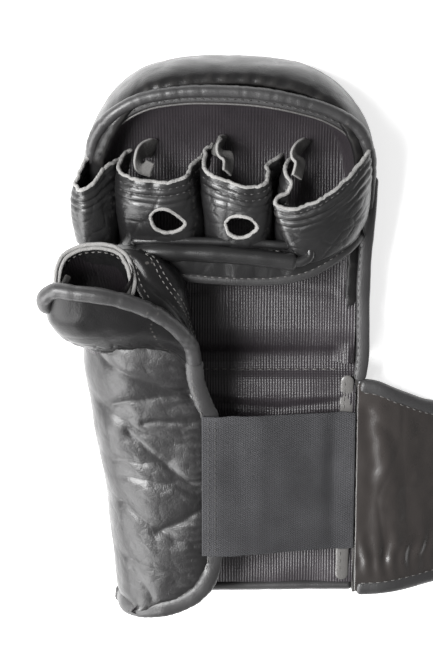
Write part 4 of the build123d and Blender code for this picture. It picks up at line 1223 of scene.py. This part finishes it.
def across_panel(start, end, sag):
    """A line over the panel between two places given as shares down and across it, sagging."""
    share = np.linspace(0, 1, 9)
    y = PANEL_TOP_Y + (start[0] + (end[0] - start[0]) * share) * (PANEL_HEM_Y - PANEL_TOP_Y)
    place = start[1] + (end[1] - start[1]) * share
    left = np.interp(-y, -panel_y, outer_x)
    right = np.interp(-y, -panel_y, inner_x)
    return np.stack([left + place * (right - left), y - sag * np.sin(math.pi * share)], axis=1)


push = 0.9 + 0.5 * noise(panel_face, 24, 133) + 0.07 * noise(panel_face, 4, 134)
push += 0.16 * puffs(slant_u + 1.5 * noise(panel_face, 8, 140), slant_v, 9, 132, 1.5)
wander_x = panel_face[..., 0] + 1.1 * noise(panel_face, 7, 135)
wander_y = panel_face[..., 1] + 1.1 * noise(panel_face, 7, 136)
for start, end, width, depth, sag in PANEL_FOLDS:
    push -= valley(wander_x, wander_y, across_panel(start, end, sag), width, depth)
puckers = np.random.RandomState(142)
for down in np.linspace(0.08, 0.92, EDGE_WRINKLES):
    reach = puckers.uniform(0.65, 0.85)
    slant = puckers.uniform(-0.03, 0.03)
    push -= valley(wander_x, wander_y, across_panel((down - slant, reach), (down, 1.0), 0.5), 1.7, 0.5)
from_edge = flat_u[:, -1:] - flat_u
gather = np.exp(-(((from_edge - 6) / 6.0) ** 2))
push += 0.2 * np.sin(panel_face[..., 1] * 1.7 + 4 * noise(panel_face, 9, 137)) * gather
panel_face = panel_face + panel_facing * (push * calm)[..., None]
panel_face[..., 2] = np.maximum(panel_face[..., 2], 0.6)
panel_pad = pillow(
    "panel_pad", panel_face, panel_facing, PANEL_THICK, 5.0, (0.75, 0.8), (creased_leather, ribbed_knit)
)
refine(panel_pad)
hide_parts("panel_leather", "panel_foam", "panel_lining")
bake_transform(panel_pad)

# ================================================================ panel edge
# A wide folded binding runs from the thumb's piping down the panel's edge and round its hem.
EDGE_ROUTE = [         # X, Y, Z from the thumb's piping down the edge and round the hem
    (-18.4, -1, 48.4), (-17.4, -12, 45.8), (-14.6, -21.5, 43.6), (-11.4, -29.5, 42.4),
    (-10.2, -42, 41.4), (-9.8, -70, 41.2), (-9.8, -97, 41.2), (-11.6, -106, 41),
    (-16.4, -113.6, 40.8), (-24.4, -119.2, 40.4), (-34.5, -122.6, 39.2), (-44, -124.2, 35.6),
    (-50.6, -124.4, 29), (-53.4, -124.4, 18), (-52.2, -124.2, 4),
]
edge_route = spline(EDGE_ROUTE, 330)
run_mm = np.arange(330) * 0.62
edge_wave = noise(np.stack([run_mm, run_mm * 0, run_mm * 0], -1), 4.2, 141)
scallop = 0.18 * np.abs(np.sin(run_mm * math.pi / 3.6))
under_elastic = ease(-24, -31, edge_route[:, 1]) * ease(-106, -99, edge_route[:, 1])
edge_route[:, 2] -= 1.0 * under_elastic
edge_tall = 1.9 - 0.7 * under_elastic + 0.14 * edge_wave
panel_edge = piece(
    "panel_edge", tube(edge_route, 4.2 + 0.16 * edge_wave - scallop, edge_tall, 16), binding_leather,
    grey_thread
)
to_middle = np.array([-38.0, -62.0]) - edge_route[:, :2]
to_middle = np.concatenate([unit(to_middle), np.zeros((330, 1))], axis=1)
seam = edge_route + to_middle * 3.5 + np.array([0, 0, 0.95])
attach(panel_edge, stitching(seam[4:262], (0, 0, 1), 3.4, 2.3, 0.3, 1))
refine(panel_edge)
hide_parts("panel_binding")
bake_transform(panel_edge)

# ================================================================ cuff
# The back of the wrist is a flat block of foam under satin leather, with the ribbed lining on
# the inside.  A stitched channel joins it to the hand, so that the padding folds there.
CUFF_RIGHT_X = 57.4
CUFF_END_Y = -123.2
CUFF_FLOOR = [         # Y, Z of the lining from the flex channel to the wrist end
    (-12, 11.2), (-15, 12.4), (-19, 15.6), (-25, 17.6), (-33, 16.6), (-60, 15), (
        -100, 14.8
    ), (-117, 15.8), (-123, 14.4),
]
shell_points = [
    (56.4, 16.4), (CUFF_RIGHT_X, 12), (CUFF_RIGHT_X, 6.5), (54.6, 2.4), (46, 1.3), (20, 1.1), (-10, 1.1),
    (-36, 1.2), (-46, 2.6), (-49, 8)
]
shell_line = spline(shell_points, 150)
shell_y = np.linspace(FLEX_Y, CUFF_END_Y, 110)
shell = np.stack([
    np.broadcast_to(
        shell_line[:, 0], (110, 150)
    ), np.broadcast_to(shell_y[:, None], (110, 150)), np.broadcast_to(shell_line[:, 1], (110, 150)),
], axis=-1).copy()
pinch = np.exp(-(((shell[..., 1] - FLEX_Y) / 3.2) ** 2))
shell[..., 2] += 2.0 * pinch * (shell[..., 2] < 8)
shell_out = lie(shell)
shell_out = shell_out * -np.sign(shell_out[50, 75, 2])
push = 0.4 * noise(shell, 16, 151) * ease(
    0, 6, shell[..., 2]
) + 0.3 * noise(shell, 5, 152) * ease(2, 8, shell[..., 2])
shell = shell + shell_out * push[..., None]
shell[..., 2] = np.maximum(shell[..., 2], 0.9)
cuff_back = piece("cuff_back", mesh_of("cuff_back", shell, grid_faces(110, 150)), satin_cowhide)
thicken(cuff_back, 1.3, 0, -1.0 if shell_out[50, 75] @ lie(shell)[50, 75] > 0 else 1.0)
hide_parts("cuff_leather", "cuff_foam")
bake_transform(cuff_back)

floor_x = np.arange(-50.0, 55.6, RIB_PITCH / 4)
floor_y = np.linspace(FLEX_Y, CUFF_END_Y + 5, 96)
floor_line = spline(CUFF_FLOOR, 300)
floor = np.stack([
    np.broadcast_to(floor_x, (96, len(floor_x))), np.broadcast_to(floor_y[:, None], (96, len(floor_x))),
    np.broadcast_to(np.interp(-floor_y, -floor_line[:, 0], floor_line[:, 1])[:, None], (96, len(floor_x))),
], axis=-1).copy()
floor[..., 2] += 0.9 * noise(floor, 17, 153) * ease(-12.5, -22, floor[..., 1]) + fold(
    floor[..., 0], floor[..., 1], [(-12, -29), (20, -33), (50, -29)], 1.8, 0.5
)
floor[..., 2] += ribs(floor[..., 0], floor)
cuff_knit = piece(
    "cuff_lining_knit", mesh_of("cuff_lining", floor, grid_faces(*floor.shape[:2])), ribbed_knit,
    grey_thread
)
row = int(np.argmin(np.abs(floor_y + 15.5)))
seam = floor[row, 30:-20:4] + np.array([0, 0, 0.25])
attach(cuff_knit, stitching(seam, (0, 0, 1), 4.2, 2.6, 0.3, 1))
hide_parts("cuff_lining", "flex_seam_thread")
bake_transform(cuff_knit)

end_path = spline(
    [(-46, -120.9, 8.8), (-20, -120.7, 9), (20, -120.3, 9), (45, -120.1, 9), (56.5, -120.1, 9.2)], 150
)
end_wave = noise(end_path, 5, 155)
cuff_edge = piece(
    "cuff_edge", tube(end_path, 3.7 + 0.15 * end_wave, 8.0 + 0.15 * end_wave, 20), binding_leather,
    grey_thread
)
attach(cuff_edge, stitching(end_path[20:-4] + np.array([0, 2.7, 5.9]), (0, 0.5, 0.85), 3.4, 2.3, 0.28, 1))
refine(cuff_edge)
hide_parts("cuff_binding")
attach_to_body(cuff_edge, "cuff")

facing_path = spline([(51.6, -17, 17.4), (51.2, -40, 17), (50.8, -80, 16.6), (50.4, -117, 16.8)], 130)
facing_wave = noise(facing_path, 6, 156)
facing_leather = leather("facing_leather", (0.06, 0.058, 0.056), 0.3, 0.4, (1500.0, 300.0, 0.4), coat=0.1)
facing_strip = piece(
    "strap_facing", tube(facing_path, 3.2 + 0.2 * facing_wave, 0.7, 12), facing_leather, grey_thread
)
attach(facing_strip, stitching(facing_path[3:-3] + np.array([-1.2, 0, 0.85]), (0, 0, 1), 3.6, 2.4, 0.28, 1))
refine(facing_strip)
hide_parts("inner_facing")
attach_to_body(facing_strip, "cuff")

# ================================================================ wrist elastic
# A wide woven elastic closes the wrist.  It is stitched on to the panel's edge twice and runs
# down to the cuff's little-finger side, pulled nearly flat.
ELASTIC_LINE = [(-15, 43.9), (-9, 43.4), (0, 40.4), (20, 32.2), (40, 23.6), (48, 20), (55.6, 18.6)]
ELASTIC_WIDTH = 66.0
ELASTIC_TOP_Y = (-29.0, -34.6)
ELASTIC_THICK = 1.7
line = spline(ELASTIC_LINE, 150)
across = np.linspace(0, 1, 130)[:, None]
top_y = np.interp(line[:, 0], (-15, 55.6), ELASTIC_TOP_Y)[None]
band = np.stack([
    np.broadcast_to(
        line[:, 0], (130, 150)
    ), top_y - across * ELASTIC_WIDTH, np.broadcast_to(line[:, 1], (130, 150)),
], axis=-1).copy()
open_part = ease(-8, 6, band[..., 0]) * ease(55, 44, band[..., 0])
band[..., 2] += 0.55 * noise(band * np.array([1.6, 0.16, 0.1]), 9, 161) * open_part
band[..., 2] -= 1.0 * np.sin(math.pi * across) * open_part
band[..., 1] += 0.8 * np.sin(math.pi * open_part) * (0.5 - across)
band_up = lie(band)
band_up = band_up * np.sign(band_up[60, 70, 2])
woven_elastic = cloth(
    "woven_elastic", (0.018, 0.018, 0.0195), (0.078, 0.078, 0.083), 0.75, 0.7, (1150.0, 900.0, 0.45),
    sheen=0.0, glow=0.3
)
wrist_elastic = pillow(
    "wrist_elastic_band", band, band_up, ELASTIC_THICK, 0.9, (0.5, 0.5),
    (woven_elastic, woven_elastic, dark_thread)
)
for inset in (6, 12):
    attach(
        wrist_elastic,
        stitching(band[3:-3, inset] + band_up[3:-3, inset] * 0.15, band_up[3:-3, inset], 3.0, 2.1, 0.25, 2)
    )
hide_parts("wrist_elastic", "elastic_thread")
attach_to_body(wrist_elastic, "cuff")

# ================================================================ wrist strap
# A long padded strap leaves the little-finger side, narrows, and drops to the table.  It wraps
# the wrist, and is made of a wide root and a long part sewn on further along.
STRAP_UPPER = [
    (56.6, -20.6), (64, -21.6), (75, -26.4), (90, -33.2), (104, -36.2), (114, -37), (200, -37), (264, -37)
]
STRAP_LOWER = [
    (56.6, -121.6), (64, -121.4), (78, -120.4), (94, -118.8), (108, -116.8), (116, -116), (200, -116),
    (264, -116)
]
STRAP_END_X = 288.2
STRAP_JOIN_X = 130.0   # where the wide root is sewn to the long straight part
STRAP_LAP = 3.0        # how far the long part laps over the root at their seam
STRAP_ROOT_X = 56.2
STRAP_THICK = 5.2
STRAP_ROOT_Z, STRAP_LOW_Z = 19.6, 6.0      # height of its upper side at the root and on the table
STRAP_DROP = (66.0, 108.0)
STRAP_GATHER_Y = -104.0    # the leather is gathered along its lower edge near the root
STRAP_FOLDS = [
    (
        [(61, -34), (64, -60), (62, -98)], 3.0, 0.6
    ), ([(69, -70), (71, -104)], 3.4, 0.6), ([(80, -76), (83, -104)], 3.6, 0.5),
    ([(73, -42), (78, -66)], 4.0, 0.35),
]
# The strap's upper face is drawn lighter than its satin black underside: that extra lightness is painted
# sheen, standing in for the broad highlights on the lit strap.
strap_leather_painted_sheen = leather("strap_leather_painted_sheen", (0.016, 0.0136, 0.0126), 0.31, 0.3, (1500.0, 240.0, 0.4), coat=0.3)


def strap_side(points, x):
    """Y of one edge of the strap at each X, drawn in round its free end."""
    y = along_spline(points, np.minimum(x, 263.9))
    over = np.clip(x - (STRAP_END_X - 24), 0, 24)
    pull = 24 - np.sqrt(np.maximum(24**2 - over**2, 0.01))
    return y + pull * np.sign(-76.5 - y)


def strap_face(x_low, x_high, rows):
    """Upper side of a stretch of the strap."""
    x = np.linspace(x_low, x_high, rows)
    high, low = strap_side(STRAP_UPPER, x), strap_side(STRAP_LOWER, x)
    share = np.linspace(0, 1, 120)[None]
    face = np.stack([
        np.broadcast_to(x[:, None], (rows, 120)), high[:, None] * (1 - share) + low[:, None] * share,
        np.broadcast_to(
            (STRAP_LOW_Z + (STRAP_ROOT_Z - STRAP_LOW_Z) * (1 - ease(*STRAP_DROP, x)))[:, None], (rows, 120)
        ),
    ], axis=-1).copy()
    up = lie(face)
    up = up * np.sign(up[rows // 2, 60, 2])
    calm = ease(1, 7, np.minimum(np.arange(120), np.arange(120)[::-1]) * 0.7)[None]
    push = 0.7 * noise(face * np.array([1.5, 0.5, 1]), 13, 171) + 0.25 * noise(face, 4.5, 172)
    push -= 0.25 * cracks(face[..., 0] * 1.2, face[..., 1], 14, 173, 0.5) * ease(118, 60, face[..., 0])
    for line, width, depth in STRAP_FOLDS:
        push += fold(face[..., 0] + 0.8 * noise(face, 6, 174), face[..., 1], line, width, depth)
    gathers = np.exp(-(((face[..., 1] - STRAP_GATHER_Y) / 9) ** 2)) * ease(112, 96, face[..., 0])
    push += 0.4 * np.sin(face[..., 0] * 0.95 + 2 * noise(face, 12, 176)) * gathers
    return face + up * (push * calm)[..., None], up


def strap_binding(name, x_low, x_high, count, closed_end):
    """The folded binding along both edges of a stretch, and round the free end if it has one."""
    x = np.linspace(x_low, x_high, count)
    rows = []
    for points, side in ((STRAP_UPPER, -1), (STRAP_LOWER, 1)):
        if closed_end and side == 1:
            break
        z = STRAP_LOW_Z - 1.6 + (STRAP_ROOT_Z - STRAP_LOW_Z) * (1 - ease(*STRAP_DROP, x))
        rows.append((np.stack([x, strap_side(points, x) + 1.2 * side, z], axis=1), side))
    if closed_end:
        z = STRAP_LOW_Z - 1.6
        loop = [(x_low, -38.2, z), (200, -38.2, z), (262, -38.2, z), (272, -39.6, z), (281, -45, z),
            (286, -53.5, z), (287, -64, z),
                (287, -89, z), (286, -99.5, z), (281, -108, z), (272, -113.4, z), (262, -114.8, z),
                (200, -114.8, z), (x_low, -114.8, z)]
        rows = [(spline(loop, 3 * count), -1)]
    edge = None
    for path, side in rows:
        wave = noise(path, 5, 175)
        mesh = tube(path, 3.7 + 0.14 * wave, 2.5 + 0.12 * wave, 14)
        if edge is None:
            edge = piece(name, mesh, binding_leather, grey_thread)
        else:
            attach(edge, mesh)
        inward_y = np.sign(-76.5 - path[:, 1]) * (np.abs(path[:, 1] + 76.5) > 20)
        inward_x = -1.0 * (path[:, 0] > 283)
        seam = path + np.stack([2.7 * inward_x, 2.7 * inward_y, np.full(len(path), 1.85)], axis=1)
        attach(edge, stitching(seam[3:-3], (0, 0, 1), 3.6, 2.4, 0.28, 1))
    refine(edge)
    return edge


root_face, root_up = strap_face(STRAP_ROOT_X, STRAP_JOIN_X, 110)
strap_root = pillow(
    "strap_root", root_face, root_up, STRAP_THICK, 3.0, (0.67, 0.8), (strap_leather_painted_sheen, satin_cowhide)
)
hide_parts("strap_base_face", "strap_base_core", "strap_base_back")
root_edge = strap_binding("strap_root_edge", STRAP_ROOT_X + 0.5, STRAP_JOIN_X + 0.5, 110, False)
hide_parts("strap_base_binding")
for part in (strap_root, root_edge):
    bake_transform(part)

long_face, long_up = strap_face(STRAP_JOIN_X - STRAP_LAP, STRAP_END_X - 0.6, 190)
long_strap = pillow(
    "strap_long", long_face, long_up, STRAP_THICK, 3.0, (0.83, 0.7), (strap_leather_painted_sheen, satin_cowhide)
)
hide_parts("strap_tip_face", "strap_tip_core", "strap_tip_back")
long_edge = strap_binding("strap_long_edge", STRAP_JOIN_X - STRAP_LAP - 0.5, STRAP_END_X, 120, True)
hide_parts("strap_tip_binding")
for part in (long_strap, long_edge):
    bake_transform(part)

# ================================================================ hook and loop fastener
# The hook tape is sewn on the strap's end.  It closes on the fuzzy loop patch that is sewn
# under the cuff.
HOOK_PITCH = 1.7
hook_low, hook_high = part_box("hook_tape")
hook_x = np.arange(hook_low.x / MM + 2.4, hook_high.x / MM - 2.2, HOOK_PITCH)
hook_y = np.arange(hook_low.y / MM + 2.4, hook_high.y / MM - 2.2, HOOK_PITCH)
hook_top = hook_high.z / MM
turn = np.linspace(0, 2 * math.pi, 5, endpoint=False)
points, faces = [], []
for x in hook_x:
    for y in hook_y:
        first = len(points)
        for dx, dz, r in ((0, -0.1, 0.26), (0.05, 0.6, 0.2), (0.35, 0.95, 0.17), (0.75, 0.8, 0.1)):
            points += [(
                x + dx + r * math.cos(t) * 0.7, y + r * math.sin(t), hook_top + dz + 0.3 * r * math.cos(t)
            ) for t in turn]
        faces += [[first + k for k in face] for face in grid_faces(4, 5, wrap=True)]
        faces.append([first + 15 + k for k in range(5)])
hook_nylon = cloth("hook_nylon", (0.012, 0.012, 0.012), (0.03, 0.03, 0.032), 0.45, 0.3, (620.0, 620.0, 0.0))
hooks = piece("hook_field", mesh_of("hook_field", points, faces), hook_nylon)
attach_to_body(hooks, "strap_tip")
loop_pile = cloth(
    "loop_pile", (0.01, 0.01, 0.011), (0.045, 0.045, 0.048), 0.9, 1.0, (1500.0, 1300.0, 0.3), sheen=0.3
)
for name, finish in (
    ("hook_tape", hook_nylon), ("hook_tape_thread", grey_thread), ("loop_patch", loop_pile)
):
    nodes[name].data.materials.clear()
    nodes[name].data.materials.append(finish)
